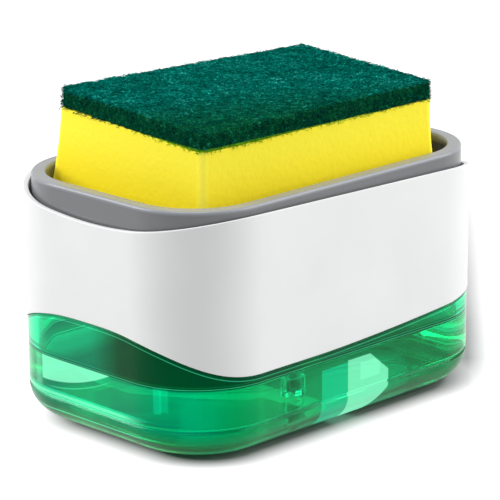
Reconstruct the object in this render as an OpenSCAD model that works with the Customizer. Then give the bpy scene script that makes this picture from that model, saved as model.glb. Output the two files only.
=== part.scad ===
// Soap pump caddy: a clear green tub under a white shell, with a sponge on a
// sprung tray. Pressing the sponge works a piston pump in the middle, which
// pushes soap up through the tray. Origin at the middle of the resting plane,
// X along the long side, Y across, Z up.

/* [Tub] */
// Length of the tub across its walls
tub_l = 146.4; // [135:1:165]
// Width of the tub across its walls
tub_w = 98.4; // [90:1:115]
// Radius of the tub's corners seen from above
tub_r = 29.5; // [24:0.2:34]
// Thickness of the tub's wall
tub_wall = 3.3; // [2.6:0.1:4]
// Thickness of the tub's floor
tub_floor = 2.6; // [2:0.1:4]
// Radius of the rounded edge round the tub's foot
base_round = 11; // [6:0.5:12]
// Height of the groove round the tub
groove_z = 12; // [8:0.5:16]
// Height of the groove itself
groove_h = 1; // [0.6:0.1:2]
// Depth of the groove
groove_d = 0.6; // [0.3:0.1:1]
// Thickness of the neck that stands up inside the shell
neck_wall = 1.6; // [1.2:0.1:2]
// Height of the neck's rim
neck_top = 48.4; // [46:0.2:49]
// Level of the soap in the tub
soap_level = 25; // [12:0.5:26]

/* [Feet] */
// Diameter of a rubber foot
foot_d = 12; // [8:0.5:14]
// How far a foot stands out under the tub
foot_out = 0.8; // [0.4:0.1:2]
// Depth of a foot's recess in the tub's floor
foot_recess = 0.8; // [0.4:0.1:1.2]
// Distance between the feet along the tub
foot_span_x = 96; // [60:1:100]
// Distance between the feet across the tub
foot_span_y = 52; // [30:1:56]

/* [Shell] */
// Thickness of the shell's wall
shell_wall = 1.8; // [1.4:0.1:2.4]
// Height of the shell's lower edge on the long sides
shell_low = 29; // [26:0.1:32]
// Rise of the arch in the lower edge at each short end
arch_rise = 12.6; // [0:0.2:14]
// Rise of the lower edge along the long sides, toward the right end
sweep_rise = 5.8; // [0:0.2:8]
// Rise of the shell's upper edge over the neck's rim, in the middle of the long sides
shell_rise = 32.4; // [30:0.2:34]
// Depth of the dip in the upper edge at each short end
dip_depth = 7.6; // [1:0.2:8]
// Angle at which the upper edge falls toward the right end, in degrees
edge_fall = 1.4; // [0:0.1:2]

/* [Deck] */
// Thickness of the pump deck
deck_t = 2.2; // [1.6:0.1:2.6]
// Height of the soft seal under the deck
seal_h = 1.4; // [1:0.1:2]
// Depth of the lip that centres the deck in the neck
lip_h = 5; // [3:0.5:8]
// Thickness of that lip
lip_t = 1.6; // [1.2:0.1:2.4]
// Diameter of the air hole in the deck
vent_d = 1.6; // [1:0.1:3]

/* [Screws] */
// Diameter of a screw's shank
screw_d = 2.9; // [2.5:0.1:3.5]
// Diameter of a screw's head
screw_head_d = 6; // [5:0.1:7]
// Height of a screw's head
screw_head_h = 1.9; // [1.5:0.1:2.2]
// Diameter of a screw's boss on the deck
boss_d = 7.4; // [6.4:0.1:9]
// Height of that boss over the deck
boss_h = 4.8; // [4:0.1:5]
// Distance of a screw from the centre line of its corner
screw_reach = 20; // [17:0.5:21]
// Thickness of a shell tab that the screw clamps
tab_t = 2.2; // [1.6:0.1:2.4]
// Radius of a shell tab round its screw
tab_r = 9.5; // [9:0.1:11]

/* [Tray] */
// How far the tray stands above the shell's upper edge
tray_rise = 3.2; // [1:0.1:5]
// Running gap between the tray and the shell
tray_gap = 1; // [0.6:0.1:1.5]
// Width of the flat rim round the tray
rim_w = 4.8; // [3.5:0.1:5]
// Thickness of the rim
rim_t = 2; // [1.6:0.1:2.6]
// Radius of the rim's outer edge
rim_round = 0.9; // [0.3:0.1:1.2]
// Thickness of the tray's outer skirt
skirt_t = 1.8; // [1.4:0.1:2.2]
// Height of that skirt
skirt_h = 14.6; // [10:0.2:15]
// Width of the bevel inside the rim
bevel_w = 0.8; // [0.4:0.1:1]
// Height of the bevel
bevel_h = 2.5; // [1:0.1:5]
// Thickness of the basin's wall
basin_wall = 1.8; // [1.4:0.1:2.4]
// Depth of the basin
basin_depth = 9; // [8:0.1:11]
// Thickness of the basin's floor
basin_t = 2.2; // [1.6:0.1:2.8]
// Height of the ribs that carry the sponge
rib_h = 2.3; // [1:0.1:3]
// Thickness of a rib
rib_t = 2; // [1.2:0.1:3]
// Length of a rib
rib_l = 62; // [30:1:66]
// Distance from one rib to the next
rib_step = 12; // [10:0.5:14]
// Ribs on each side of the pump head
rib_count = 4; // [1:1:4]

/* [Sponge] */
// Room between the sponge's ends and the basin's wall
sponge_room_x = 15.15; // [13:0.05:25]
// Room between the sponge's sides and the basin's wall
sponge_room_y = 6.15; // [6:0.05:16]
// Thickness of the foam
foam_t = 24; // [15:0.5:35]
// Thickness of the scouring pad
pad_t = 6.5; // [4:0.5:12]
// How far the foam's foot spreads on each side
foam_spread = 0.5; // [0:0.1:0.9]
// How far the foam's sides draw in at mid height
foam_waist = 0.5; // [0:0.1:1.5]
// Radius of the foam's upright edges
foam_r = 2.4; // [2:0.1:8]
// Rounding at the foam's lower edge
foam_edge = 1.2; // [0.4:0.1:3]
// Turn of the sponge in the tray, in degrees
sponge_turn = -5.8; // [-6:0.2:6]

/* [Pump] */
// Stroke of the pump
stroke = 8; // [4:0.5:8]
// Bore of the barrel
bore_d = 16; // [15:0.5:17]
// Thickness of the barrel's wall
barrel_wall = 1.6; // [1.2:0.1:2]
// Height of the barrel's inner floor
barrel_floor = 29; // [28:0.5:31]
// Diameter of the barrel's flange
flange_d = 26; // [24:0.5:28]
// Thickness of the flange
flange_t = 2; // [1.5:0.1:3]
// Thickness of the washer under the flange
washer_t = 1.2; // [0.8:0.1:2]
// Thickness of the threaded ring on the deck
ring_t = 1.7; // [1.4:0.1:2.4]
// Height of that ring
ring_h = 5; // [4:0.1:5.4]
// Thickness of the collar's wall
collar_wall = 1.9; // [1.4:0.1:2.6]
// Thickness of the collar's top
collar_top = 2; // [1.6:0.1:2.2]
// Outer diameter of the stem
stem_d = 7; // [6:0.1:8]
// Bore of the stem
stem_bore = 3.2; // [2.4:0.1:3.4]
// Height of the piston
piston_h = 9; // [7:0.5:10]
// Depth of the seal's groove in the piston
seal_groove = 1.8; // [1:0.1:2.2]
// Height of the piston's seal
piston_seal_h = 2.4; // [1.6:0.1:3]
// Diameter of the spring's wire
wire_d = 0.9; // [0.6:0.05:1]
// Curls in the spring
curls = 7; // [4:1:7]
// Clearance between the spring and the bore
spring_gap = 1.4; // [1:0.1:2]

/* [Valves] */
// Diameter of the inlet ball
inlet_ball_d = 4.8; // [4.2:0.1:5]
// Lift of the inlet ball
inlet_lift = 1.4; // [0.8:0.1:1.5]
// Bore of the inlet valve's chamber
inlet_bore = 6.4; // [6:0.1:7]
// Bore under the inlet ball
inlet_port = 3; // [2.4:0.1:3.4]
// Thickness of the barrel under the inlet seat
port_h = 1.8; // [1.2:0.1:2.4]
// Thickness of the cage over the inlet ball
cage_t = 1.6; // [1.2:0.1:2.4]
// Diameter of the outlet ball
outlet_ball_d = 4; // [3.8:0.1:4.4]
// Lift of the outlet ball
outlet_lift = 1; // [0.6:0.1:1.2]
// Bore of the outlet valve's chamber
outlet_bore = 4.8; // [4.6:0.1:5.2]
// Thickness of the head's roof over the outlet valve
hub_roof = 1.2; // [0.8:0.1:1.6]

/* [Intake] */
// Outer diameter of the dip tube
tube_d = 6; // [5:0.1:6.4]
// Thickness of the dip tube's wall
tube_wall = 0.9; // [0.6:0.1:1.2]
// Diameter of the spigot that holds the dip tube
spigot_d = 10; // [9:0.1:11]
// Depth of the tube in its spigot
tube_grip = 6; // [4:0.5:8]
// Gap between the strainer and the tub's floor
strainer_gap = 1; // [0.5:0.1:3]
// Height of the strainer
strainer_h = 6; // [5:0.5:7]
// Thickness of the strainer's wall
strainer_wall = 2; // [1.2:0.1:2.2]
// Thickness of the strainer's floor
strainer_floor = 1.4; // [1:0.1:2]
// Width of a slot in the strainer
slot_w = 1.2; // [0.8:0.1:1.6]

/* [Pump head] */
// Diameter of the head's hub
hub_d = 16; // [14:0.5:18]
// Diameter of the flange that carries the tray
head_d = 40; // [32:1:44]
// Thickness of that flange
head_t = 2.2; // [1.8:0.1:2.6]
// Gap between the hub's top and the sponge
hub_low = 0.5; // [0.3:0.1:1.5]
// Diameter of an outlet hole
outlet_d = 1.6; // [1:0.1:1.6]
// Holes through the head
outlet_count = 3; // [2:1:4]

/* [Clearances] */
// Gap where one piece rests on another that lifts off
rest_gap = 0.2; // [0.15:0.05:0.3]
// Side gap between the neck and the shell
neck_gap = 0.25; // [0.2:0.05:0.4]
// Side gap of loosely fitted pieces
loose_gap = 0.3; // [0.2:0.05:0.4]
// Side gap of sliding pieces
run_gap = 0.08; // [0.05:0.01:0.1]

/* [Hidden] */
$fn = 96;
cut = 1;
// powers of the arch curve: the higher, the flatter its crown, and the softer its turn into the sides
arch_power = 3;
arch_turn = 1.3;
arch_steps = 16;
dip_steps = 16;
// power of the rise along the long sides, and its start left of the middle as a share of the length
sweep_power = 1.7;
sweep_share = 0.14;
sweep_steps = 12;
// distance of an outlet hole from the axis, as a share of its diameter
outlet_share = 0.9;

// tub and shell, from the cavity outwards
cavity_l = tub_l - 2 * tub_wall;
cavity_w = tub_w - 2 * tub_wall;
cavity_r = tub_r - tub_wall;
neck_l = cavity_l + 2 * neck_wall;
neck_w = cavity_w + 2 * neck_wall;
neck_r = cavity_r + neck_wall;
well_l = neck_l + 2 * neck_gap;
well_w = neck_w + 2 * neck_gap;
well_r = neck_r + neck_gap;
shell_l = well_l + 2 * shell_wall;
shell_w = well_w + 2 * shell_wall;
shell_r = well_r + shell_wall;
floor_top = foot_out + tub_floor;
shell_high = neck_top + shell_rise;

// heights of the deck and the pump's mouth
deck_z = neck_top + rest_gap + seal_h;
deck_top = deck_z + deck_t;
flange_z = deck_top + washer_t;
flange_top = flange_z + flange_t;
ring_top = deck_top + ring_h;
collar_z = ring_top + rest_gap;
collar_high = collar_z + collar_top;
barrel_d = bore_d + 2 * barrel_wall;
ring_in_d = flange_d + 2 * loose_gap;
ring_out_d = ring_in_d + 2 * ring_t;
collar_in_d = ring_out_d + 2 * loose_gap;
collar_d = collar_in_d + 2 * collar_wall;
corner_x = well_l / 2 - well_r;
corner_y = well_w / 2 - well_r;

// inlet valve: a cone at 45 degrees under the ball
cone_rise = (inlet_bore - inlet_port) / 2;
ball_rise = (inlet_ball_d / 2 + run_gap) * sqrt(2) - inlet_port / 2;
inlet_ball_z = barrel_floor - loose_gap - inlet_lift - inlet_ball_d / 2;
cone_z = inlet_ball_z - ball_rise;
chamber_h = barrel_floor - cone_z - cone_rise;
socket_z = cone_z - port_h;
spigot_z = socket_z - tube_grip;
strainer_d = tube_d + 2 * strainer_wall;
strainer_z = floor_top + strainer_gap;
tube_low = strainer_z + strainer_floor + loose_gap;

// moving pump pieces at rest
piston_top = collar_z - rest_gap;
piston_z = piston_top - piston_h;
piston_d = bore_d - 2 * loose_gap;
cage_top = barrel_floor + cage_t;
spring_r = bore_d / 2 - spring_gap - wire_d / 2;

// tray, head and sponge
tray_l = well_l - 2 * tray_gap;
tray_w = well_w - 2 * tray_gap;
tray_r = well_r - tray_gap;
tray_top = shell_high + tray_rise;
basin_z = tray_top - basin_depth;
basin_low = basin_z - basin_t;
basin_l = tray_l - 2 * (rim_w + bevel_w);
basin_w = tray_w - 2 * (rim_w + bevel_w);
basin_r = tray_r - rim_w - bevel_w;
sponge_l = basin_l - 2 * sponge_room_x;
sponge_w = basin_w - 2 * sponge_room_y;
rib_top = basin_z + rib_h;
sponge_z = rib_top + rest_gap;
head_top = basin_low - rest_gap;
head_low = head_top - head_t;
hub_top = sponge_z - hub_low;
hub_z = collar_high + stroke + loose_gap;
chamber_top = hub_top - hub_roof;
outlet_ball_drop = sqrt(pow(outlet_ball_d, 2) - pow(stem_bore, 2)) / 2;
stem_top = chamber_top - outlet_lift - outlet_ball_d / 2 - outlet_ball_drop - loose_gap;
outlet_ball_z = stem_top + outlet_ball_drop + run_gap;

// Flat rounded rectangle with true arcs at its corners
module round_rect(l, w, r) {
    square([l - 2 * r, w], center = true);
    square([l, w - 2 * r], center = true);
    for (i = [-1, 1], j = [-1, 1]) {
        translate([i * (l / 2 - r), j * (w / 2 - r)]) circle(r);
    }
}

// Upright prism on a rounded rectangle, from height z0 to z1
module prism(l, w, r, z0, z1) {
    translate([0, 0, z0]) linear_extrude(z1 - z0) round_rect(l, w, r);
}

// Upright ring between two rounded rectangles, t thick
module ring_wall(l, w, r, t, z0, z1) {
    difference() {
        prism(l, w, r, z0, z1);
        prism(l - 2 * t, w - 2 * t, r - t, z0 - cut, z1 + cut);
    }
}

// Tube on the Z axis
module tube(d, bore, z0, z1) {
    translate([0, 0, z0]) difference() {
        cylinder(d = d, h = z1 - z0);
        translate([0, 0, -cut]) cylinder(d = bore, h = z1 - z0 + 2 * cut);
    }
}

// Carries a profile round a rounded rectangle. In the profile, x runs
// outwards from the corner's centre and y is the height.
module swept(l, w, r) {
    for (i = [0, 1]) {
        mirror([i, 0, 0]) for (j = [0, 1]) {
            mirror([0, j, 0]) translate([l / 2 - r, w / 2 - r, 0]) rotate_extrude(angle = 90) children();
        }
        rotate([0, 0, i * 180]) {
            translate([l / 2 - r, w / 2 - r, 0]) rotate([90, 0, 0]) linear_extrude(w - 2 * r) children();
            translate([r - l / 2, w / 2 - r, 0]) rotate([90, 0, 90]) linear_extrude(l - 2 * r) children();
        }
    }
}

// Profile of a block whose lower outer edge is rounded by radius e
module rounded_profile(r, e, z0, z1) {
    intersection() {
        translate([0, z0]) square([r, z1 - z0]);
        union() {
            translate([0, z0]) square([r - e, z1 - z0]);
            translate([0, z0 + e]) square([r, z1 - z0]);
            translate([r - e, z0 + e]) circle(e);
        }
    }
}

// Block on a rounded rectangle with its lower edge rounded by radius e
module bowl(l, w, r, e, z0, z1) {
    swept(l, w, r) rounded_profile(r, e, z0, z1);
    translate([r - l / 2, r - w / 2, z0]) cube([l - 2 * r, w - 2 * r, z1 - z0]);
}

// Height of the shell's lower edge at a distance y from the middle
function arch_z(y) = shell_low
    + arch_rise * pow(1 - pow(min(1, abs(y) / (shell_w / 2)), arch_power), arch_turn);

// Height of the shell's lower edge on a long side, at a distance x from the middle
function sweep_z(x) = shell_low + sweep_rise
    * pow(max(0, x / shell_l + sweep_share) / (1 / 2 + sweep_share), sweep_power);

// Everything below the lower edge, lowered by drop: the arches, and the rise to the right end
module below_edge(drop) {
    half = shell_w / 2 + cut;
    reach = shell_l / 2 + cut;
    arch = [for (i = [-arch_steps:arch_steps])
        let (y = shell_w / 2 * i / arch_steps) [y, arch_z(y) - drop]];
    sweep = [for (i = [sweep_steps:-1:0])
        let (x = reach - (reach + sweep_share * shell_l) * (1 - i / sweep_steps)) [x, sweep_z(x) - drop]];
    rotate([90, 0, 90]) linear_extrude(2 * reach, center = true)
        polygon(concat([[half, shell_low - drop], [half, -cut], [-half, -cut],
            [-half, shell_low - drop]], arch));
    rotate([90, 0, 0]) linear_extrude(2 * half, center = true)
        polygon(concat([[-reach, shell_low - drop], [-reach, -cut], [reach, -cut]], sweep));
}

// Everything above the upper edge: dipped at the short ends, and falling toward the right end
module above_edge() {
    half = shell_w / 2 + cut;
    top = 2 * dip_depth;
    curve = [for (i = [dip_steps:-1:-dip_steps]) let (y = half * i / dip_steps)
        [y, -dip_depth * (1 - pow(y / half, 2))]];
    translate([0, 0, shell_high]) rotate([0, edge_fall, 0])
        rotate([90, 0, 90]) linear_extrude(shell_l + 2 * top, center = true)
            polygon(concat([[-half, top], [half, top]], curve));
}

// Positions of the four corner screws
module at_screws() {
    reach = screw_reach / sqrt(2);
    for (i = [-1, 1], j = [-1, 1]) {
        translate([i * (corner_x + reach), j * (corner_y + reach), 0]) children();
    }
}

// Clear tub: rounded foot, groove, arched shoulder and neck
module tub() {
    color([0.05, 0.68, 0.42, 0.6]) difference() {
        union() {
            intersection() {
                bowl(tub_l, tub_w, tub_r, base_round, foot_out, shell_low + arch_rise);
                below_edge(rest_gap);
            }
            prism(neck_l, neck_w, neck_r, shell_low - cut, neck_top);
        }
        bowl(cavity_l, cavity_w, cavity_r, base_round - tub_wall, floor_top, neck_top + cut);
        difference() {
            prism(tub_l + 2 * cut, tub_w + 2 * cut, tub_r + cut,
                groove_z - groove_h / 2, groove_z + groove_h / 2);
            prism(tub_l - 2 * groove_d, tub_w - 2 * groove_d, tub_r - groove_d,
                groove_z - groove_h, groove_z + groove_h);
        }
        for (i = [-1, 1], j = [-1, 1]) {
            translate([i * foot_span_x / 2, j * foot_span_y / 2, foot_out - cut])
                cylinder(d = foot_d + 2 * loose_gap, h = foot_recess + cut);
        }
    }
}

// Soap that stands in the tub, with room for the pump's intake
module soap_fill() {
    color([0.02, 0.5, 0.3]) difference() {
        bowl(cavity_l - 2 * loose_gap, cavity_w - 2 * loose_gap, cavity_r - loose_gap,
            base_round - tub_wall - loose_gap, floor_top + loose_gap, soap_level);
        cylinder(d = max(spigot_d, strainer_d) + 4 * loose_gap, h = neck_top);
        translate([0, 0, socket_z - 2 * loose_gap]) cylinder(d = barrel_d + 4 * loose_gap, h = neck_top);
    }
}

// Four rubber feet set into the tub's floor
module rubber_feet() {
    color([0.8, 0.86, 0.83]) for (i = [-1, 1], j = [-1, 1]) {
        translate([i * foot_span_x / 2, j * foot_span_y / 2, 0])
            cylinder(d = foot_d, h = foot_out + foot_recess);
    }
}

// White shell: arched lower edge, dipped upper edge and four screw tabs
module outer_shell() {
    tab_z = deck_top + boss_h;
    color([0.95, 0.95, 0.95]) {
        difference() {
            ring_wall(shell_l, shell_w, shell_r, shell_wall, shell_low - cut, tray_top);
            below_edge(0);
            above_edge();
        }
        difference() {
            intersection() {
                prism(well_l + shell_wall, well_w + shell_wall, well_r + shell_wall / 2,
                    tab_z, tab_z + tab_t);
                at_screws() translate([0, 0, tab_z]) cylinder(r = tab_r, h = tab_t);
            }
            at_screws() translate([0, 0, tab_z - cut])
                cylinder(d = screw_d + 2 * loose_gap, h = tab_t + 2 * cut);
        }
    }
}

// Deck that closes the tub and carries the pump
module pump_deck() {
    color([0.85, 0.86, 0.87]) difference() {
        union() {
            prism(neck_l, neck_w, neck_r, deck_z, deck_top);
            ring_wall(cavity_l - 2 * loose_gap, cavity_w - 2 * loose_gap, cavity_r - loose_gap, lip_t,
                deck_z - lip_h, deck_z + deck_t / 2);
            tube(ring_out_d, ring_in_d, deck_top - deck_t / 2, ring_top);
            at_screws() translate([0, 0, deck_top - deck_t / 2])
                cylinder(d = boss_d, h = boss_h + deck_t / 2);
        }
        translate([0, 0, deck_z - cut]) cylinder(d = barrel_d + 2 * loose_gap, h = deck_t + 2 * cut);
        at_screws() translate([0, 0, deck_top - deck_t / 2]) cylinder(d = screw_d, h = boss_h + deck_t);
        translate([0, ring_out_d, deck_z - cut]) cylinder(d = vent_d, h = deck_t + 2 * cut);
    }
}

// Soft ring between the deck and the neck's rim
module deck_seal() {
    color([0.2, 0.2, 0.2])
        ring_wall(neck_l, neck_w, neck_r, neck_wall + loose_gap, deck_z - seal_h, deck_z);
}

// Screws that clamp the shell's tabs to the deck
module deck_screws() {
    head_z = deck_top + boss_h + tab_t;
    color("silver") at_screws() difference() {
        union() {
            translate([0, 0, deck_top]) cylinder(d = screw_d, h = head_z - deck_top);
            translate([0, 0, head_z]) cylinder(d = screw_head_d, h = screw_head_h);
        }
        for (a = [0, 90]) {
            rotate([0, 0, a]) translate([0, 0, head_z + screw_head_h])
                cube([screw_head_d * 0.6, screw_d / 4, screw_head_h], center = true);
        }
    }
}

// Washer under the barrel's flange
module barrel_washer() {
    color([0.15, 0.15, 0.15]) tube(flange_d, barrel_d + loose_gap, deck_top, flange_z);
}

// Barrel with its flange, inlet seat and spigot
module pump_barrel() {
    color([0.9, 0.92, 0.93, 0.8]) difference() {
        union() {
            translate([0, 0, flange_z]) cylinder(d = flange_d, h = flange_t);
            translate([0, 0, socket_z]) cylinder(d = barrel_d, h = flange_top - socket_z);
            translate([0, 0, spigot_z]) cylinder(d = spigot_d, h = barrel_floor - spigot_z);
        }
        translate([0, 0, barrel_floor]) cylinder(d = bore_d, h = flange_top);
        translate([0, 0, cone_z + cone_rise]) cylinder(d = inlet_bore, h = chamber_h + cut);
        translate([0, 0, cone_z]) cylinder(d1 = inlet_port, d2 = inlet_bore, h = cone_rise);
        translate([0, 0, socket_z - cut]) cylinder(d = inlet_port, h = port_h + 2 * cut);
        translate([0, 0, spigot_z - cut]) cylinder(d = tube_d, h = tube_grip + cut);
    }
}

// Collar that screws down over the barrel's flange
module barrel_collar() {
    color([0.88, 0.88, 0.88]) difference() {
        translate([0, 0, deck_top + rest_gap]) cylinder(d = collar_d, h = collar_high - deck_top - rest_gap);
        tube(collar_in_d, ring_in_d - 2 * loose_gap, deck_top - cut, collar_z);
        translate([0, 0, deck_top - cut]) cylinder(d = ring_out_d - ring_t, h = washer_t + flange_t + cut);
        translate([0, 0, deck_top]) cylinder(d = bore_d + 2 * loose_gap, h = collar_z - deck_top);
        translate([0, 0, collar_z - cut]) cylinder(d = stem_d + 2 * run_gap, h = collar_top + 2 * cut);
    }
}

// Cage that keeps the inlet ball down and seats the spring
module valve_cage() {
    hole_d = inlet_bore / 2;
    color([0.92, 0.92, 0.9]) difference() {
        translate([0, 0, barrel_floor]) cylinder(d = bore_d, h = cage_t);
        for (k = [0:2]) {
            rotate([0, 0, k * 120]) translate([inlet_bore / 2, 0, barrel_floor - cut])
                cylinder(d = hole_d, h = cage_t + 2 * cut);
        }
    }
}

// Ball on the inlet seat
module inlet_ball() {
    color("silver") translate([0, 0, inlet_ball_z]) sphere(d = inlet_ball_d);
}

// Dip tube down to the tub's floor
module dip_tube() {
    color([0.93, 0.95, 0.95]) tube(tube_d, tube_d - 2 * tube_wall, tube_low, socket_z);
}

// Slotted strainer on the end of the dip tube
module strainer() {
    color([0.9, 0.9, 0.9]) difference() {
        translate([0, 0, strainer_z]) cylinder(d = strainer_d, h = strainer_h);
        translate([0, 0, strainer_z + strainer_floor]) cylinder(d = tube_d, h = strainer_h);
        for (k = [0:2]) {
            rotate([0, 0, k * 60]) translate([0, 0, strainer_z])
                cube([strainer_d + cut, slot_w, 2 * (strainer_floor + loose_gap)], center = true);
        }
    }
}

// Points of the spring's centre line: two straight ends and even curls
spring_low = cage_top;
spring_high = piston_z;
curl_rings = 8;
tube_sides = 6;
function curl_z(i) = spring_low + wire_d + (spring_high - spring_low - 2 * wire_d) * i / (curls * curl_rings);
function curl_point(i) = let (a = i * 360 / curl_rings) [spring_r * cos(a), spring_r * sin(a), curl_z(i)];
curl_last = curls * curl_rings;
curl_line = concat([[spring_r, 0, spring_low]], [for (i = [0:curl_last]) curl_point(i)],
    [[curl_point(curl_last).x, curl_point(curl_last).y, spring_high]]);
curl_steps = [for (i = [0:curl_last - curl_rings]) norm(curl_point(i) - curl_point(i + curl_rings))];
curl_gap = min(curl_steps) - wire_d;
echo(spring_least_gap = curl_gap);

// Return spring under the piston, one unbroken wire
module return_spring() {
    last = len(curl_line) - 1;
    points = [for (i = [0:last])
        let (ahead = curl_line[min(last, i + 1)] - curl_line[max(0, i - 1)],
            along = ahead / norm(ahead),
            turn = (i == 0 ? 0 : min(i - 1, curl_last)) * 360 / curl_rings,
            out = [cos(turn), sin(turn), 0],
            side = cross(along, out))
        for (k = [0:tube_sides - 1])
            curl_line[i] + wire_d / 2 * (cos(k * 360 / tube_sides) * out + sin(k * 360 / tube_sides) * side)];
    skin = [for (i = [0:last - 1], k = [0:tube_sides - 1])
        let (a = i * tube_sides + k, b = i * tube_sides + (k + 1) % tube_sides)
        for (tri = [[a, a + tube_sides, b + tube_sides], [a, b + tube_sides, b]]) tri];
    far = last * tube_sides;
    ends = [for (k = [1:tube_sides - 2]) for (tri = [[0, k, k + 1], [far, far + k + 1, far + k]]) tri];
    color("gainsboro") polyhedron(points, concat(skin, ends), convexity = 10);
}

// Piston on the stem's foot, grooved for its seal
module piston() {
    color([0.82, 0.85, 0.9]) difference() {
        tube(piston_d, stem_d, piston_z, piston_top);
        tube(bore_d + cut, piston_d - 2 * seal_groove, piston_z + (piston_h - piston_seal_h) / 2,
            piston_z + (piston_h + piston_seal_h) / 2);
    }
}

// Seal ring in the piston's groove
module piston_seal() {
    color([0.2, 0.22, 0.25]) tube(bore_d - 2 * run_gap, piston_d - 2 * seal_groove,
        piston_z + (piston_h - piston_seal_h) / 2, piston_z + (piston_h + piston_seal_h) / 2);
}

// Hollow stem from the piston up into the head
module pump_stem() {
    color([0.9, 0.9, 0.88]) tube(stem_d, stem_bore, piston_z, stem_top);
}

// Head: the flange under the tray and the hub with its outlet holes
module pump_head() {
    color([0.6, 0.62, 0.63]) difference() {
        union() {
            translate([0, 0, head_low]) cylinder(d = head_d, h = head_t);
            translate([0, 0, hub_z]) cylinder(d = hub_d, h = hub_top - hub_z);
        }
        translate([0, 0, hub_z - cut]) cylinder(d = stem_d, h = stem_top - hub_z + cut);
        translate([0, 0, stem_top - cut]) cylinder(d = outlet_bore, h = chamber_top - stem_top + cut);
        for (k = [0:outlet_count - 1]) {
            rotate([0, 0, k * 360 / outlet_count])
                translate([outlet_d * outlet_share, 0, chamber_top - cut])
                cylinder(d = outlet_d, h = hub_roof + 2 * cut);
        }
    }
}

// Ball on the outlet seat at the stem's top
module outlet_ball() {
    color("silver") translate([0, 0, outlet_ball_z]) sphere(d = outlet_ball_d);
}

// Section of the tray's edge: skirt, flat rim, bevel and basin wall
module tray_profile() {
    rim_r = tray_r - rim_w;
    translate([tray_r - skirt_t, tray_top - skirt_h]) square([skirt_t, skirt_h - rim_round]);
    translate([rim_r, tray_top - rim_t]) square([rim_w - rim_round, rim_t]);
    translate([rim_r, tray_top - rim_t]) square([rim_w, rim_t - rim_round]);
    translate([tray_r - rim_round, tray_top - rim_round]) circle(rim_round);
    polygon([[basin_r - basin_wall / 2, basin_low], [basin_r + basin_wall, basin_low],
        [basin_r + basin_wall, tray_top - bevel_h - basin_wall], [rim_r + basin_wall, tray_top - rim_t],
        [rim_r + basin_wall, tray_top], [rim_r, tray_top], [basin_r, tray_top - bevel_h],
        [basin_r, basin_z], [basin_r - basin_wall / 2, basin_z]]);
}

// Grey tray with its basin, ribs and the hole for the pump head
module press_tray() {
    hole_d = hub_d + 4 * loose_gap;
    color([0.56, 0.57, 0.58]) {
        swept(tray_l, tray_w, tray_r) tray_profile();
        difference() {
            union() {
                prism(basin_l + basin_wall, basin_w + basin_wall, basin_r + basin_wall / 2,
                    basin_low, basin_z);
                translate([0, 0, basin_low])
                    cylinder(d = hole_d + 2 * basin_wall, h = rib_top - rest_gap - basin_low);
                for (i = [-1, 1], k = [1:rib_count]) {
                    translate([i * (hole_d / 2 + rib_step * (k - 0.5)) - rib_t / 2, -rib_l / 2, basin_low])
                        cube([rib_t, rib_l, rib_top - basin_low]);
                }
            }
            translate([0, 0, basin_low - cut]) cylinder(d = hole_d, h = rib_top);
        }
    }
}

// Points of a rounded rectangle at height z, corner by corner
foam_steps = 5;
function outline(l, w, r, z) = [for (q = [0:3], s = [0:foam_steps])
    let (a = 90 * (q + s / foam_steps), i = q == 0 || q == 3 ? 1 : -1, j = q < 2 ? 1 : -1)
    [i * (l / 2 - r) + r * cos(a), j * (w / 2 - r) + r * sin(a), z]];

// Solid through a stack of outlines, each [side growth, height]
module stacked(levels, l, w, r) {
    n = 4 * (foam_steps + 1);
    top = len(levels) - 1;
    points = [for (v = levels) each outline(l + 2 * v[0], w + 2 * v[0], r + min(0, v[0]), v[1])];
    skin = [for (i = [0:top - 1], k = [0:n - 1])
        let (a = i * n + k, b = i * n + (k + 1) % n)
        for (tri = [[a, a + n, b + n], [a, b + n, b]]) tri];
    lids = [for (k = [1:n - 2]) for (tri = [[0, k, k + 1], [top * n, top * n + k + 1, top * n + k]]) tri];
    polyhedron(points, concat(skin, lids), convexity = 4);
}

// Foam block: spread foot, rounded lower edge and sides drawn in at mid height
module sponge_foam() {
    side_steps = 8;
    edge_levels = [for (a = [0, 30, 60, 90])
        [foam_spread - foam_edge * (1 - sin(a)), sponge_z + foam_edge * (1 - cos(a))]];
    side_levels = [for (s = [1:side_steps]) let (t = s / side_steps)
        [foam_spread * (1 - t) - foam_waist * sin(180 * t), sponge_z + foam_edge + (foam_t - foam_edge) * t]];
    color([0.98, 0.88, 0.2]) rotate([0, 0, sponge_turn])
        stacked(concat(edge_levels, side_levels), sponge_l, sponge_w, foam_r);
}

// Scouring pad glued on the foam
module scouring_pad() {
    color([0.0, 0.42, 0.36]) rotate([0, 0, sponge_turn])
        prism(sponge_l, sponge_w, foam_r, sponge_z + foam_t, sponge_z + foam_t + pad_t);
}

tub();
soap_fill();
rubber_feet();
outer_shell();
pump_deck();
deck_seal();
deck_screws();
barrel_washer();
pump_barrel();
barrel_collar();
valve_cage();
inlet_ball();
dip_tube();
strainer();
return_spring();
piston();
piston_seal();
pump_stem();
pump_head();
outlet_ball();
press_tray();
sponge_foam();
scouring_pad();
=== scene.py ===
"""Soap pump caddy: a clear green tub under a white shell, with a sponge on a sprung tray.

Each sub-assembly is a class that holds its sizes in millimetres, builds its
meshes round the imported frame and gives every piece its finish. Heights and
overall sizes come from the frame's boxes. X runs along the long side, Y across,
Z up, and the origin is the middle of the resting plane.
"""

import logging
import math
from collections.abc import Callable
from dataclasses import dataclass, field
from enum import Enum

import bpy
import numpy as np
from mathutils import Matrix, Vector


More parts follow.
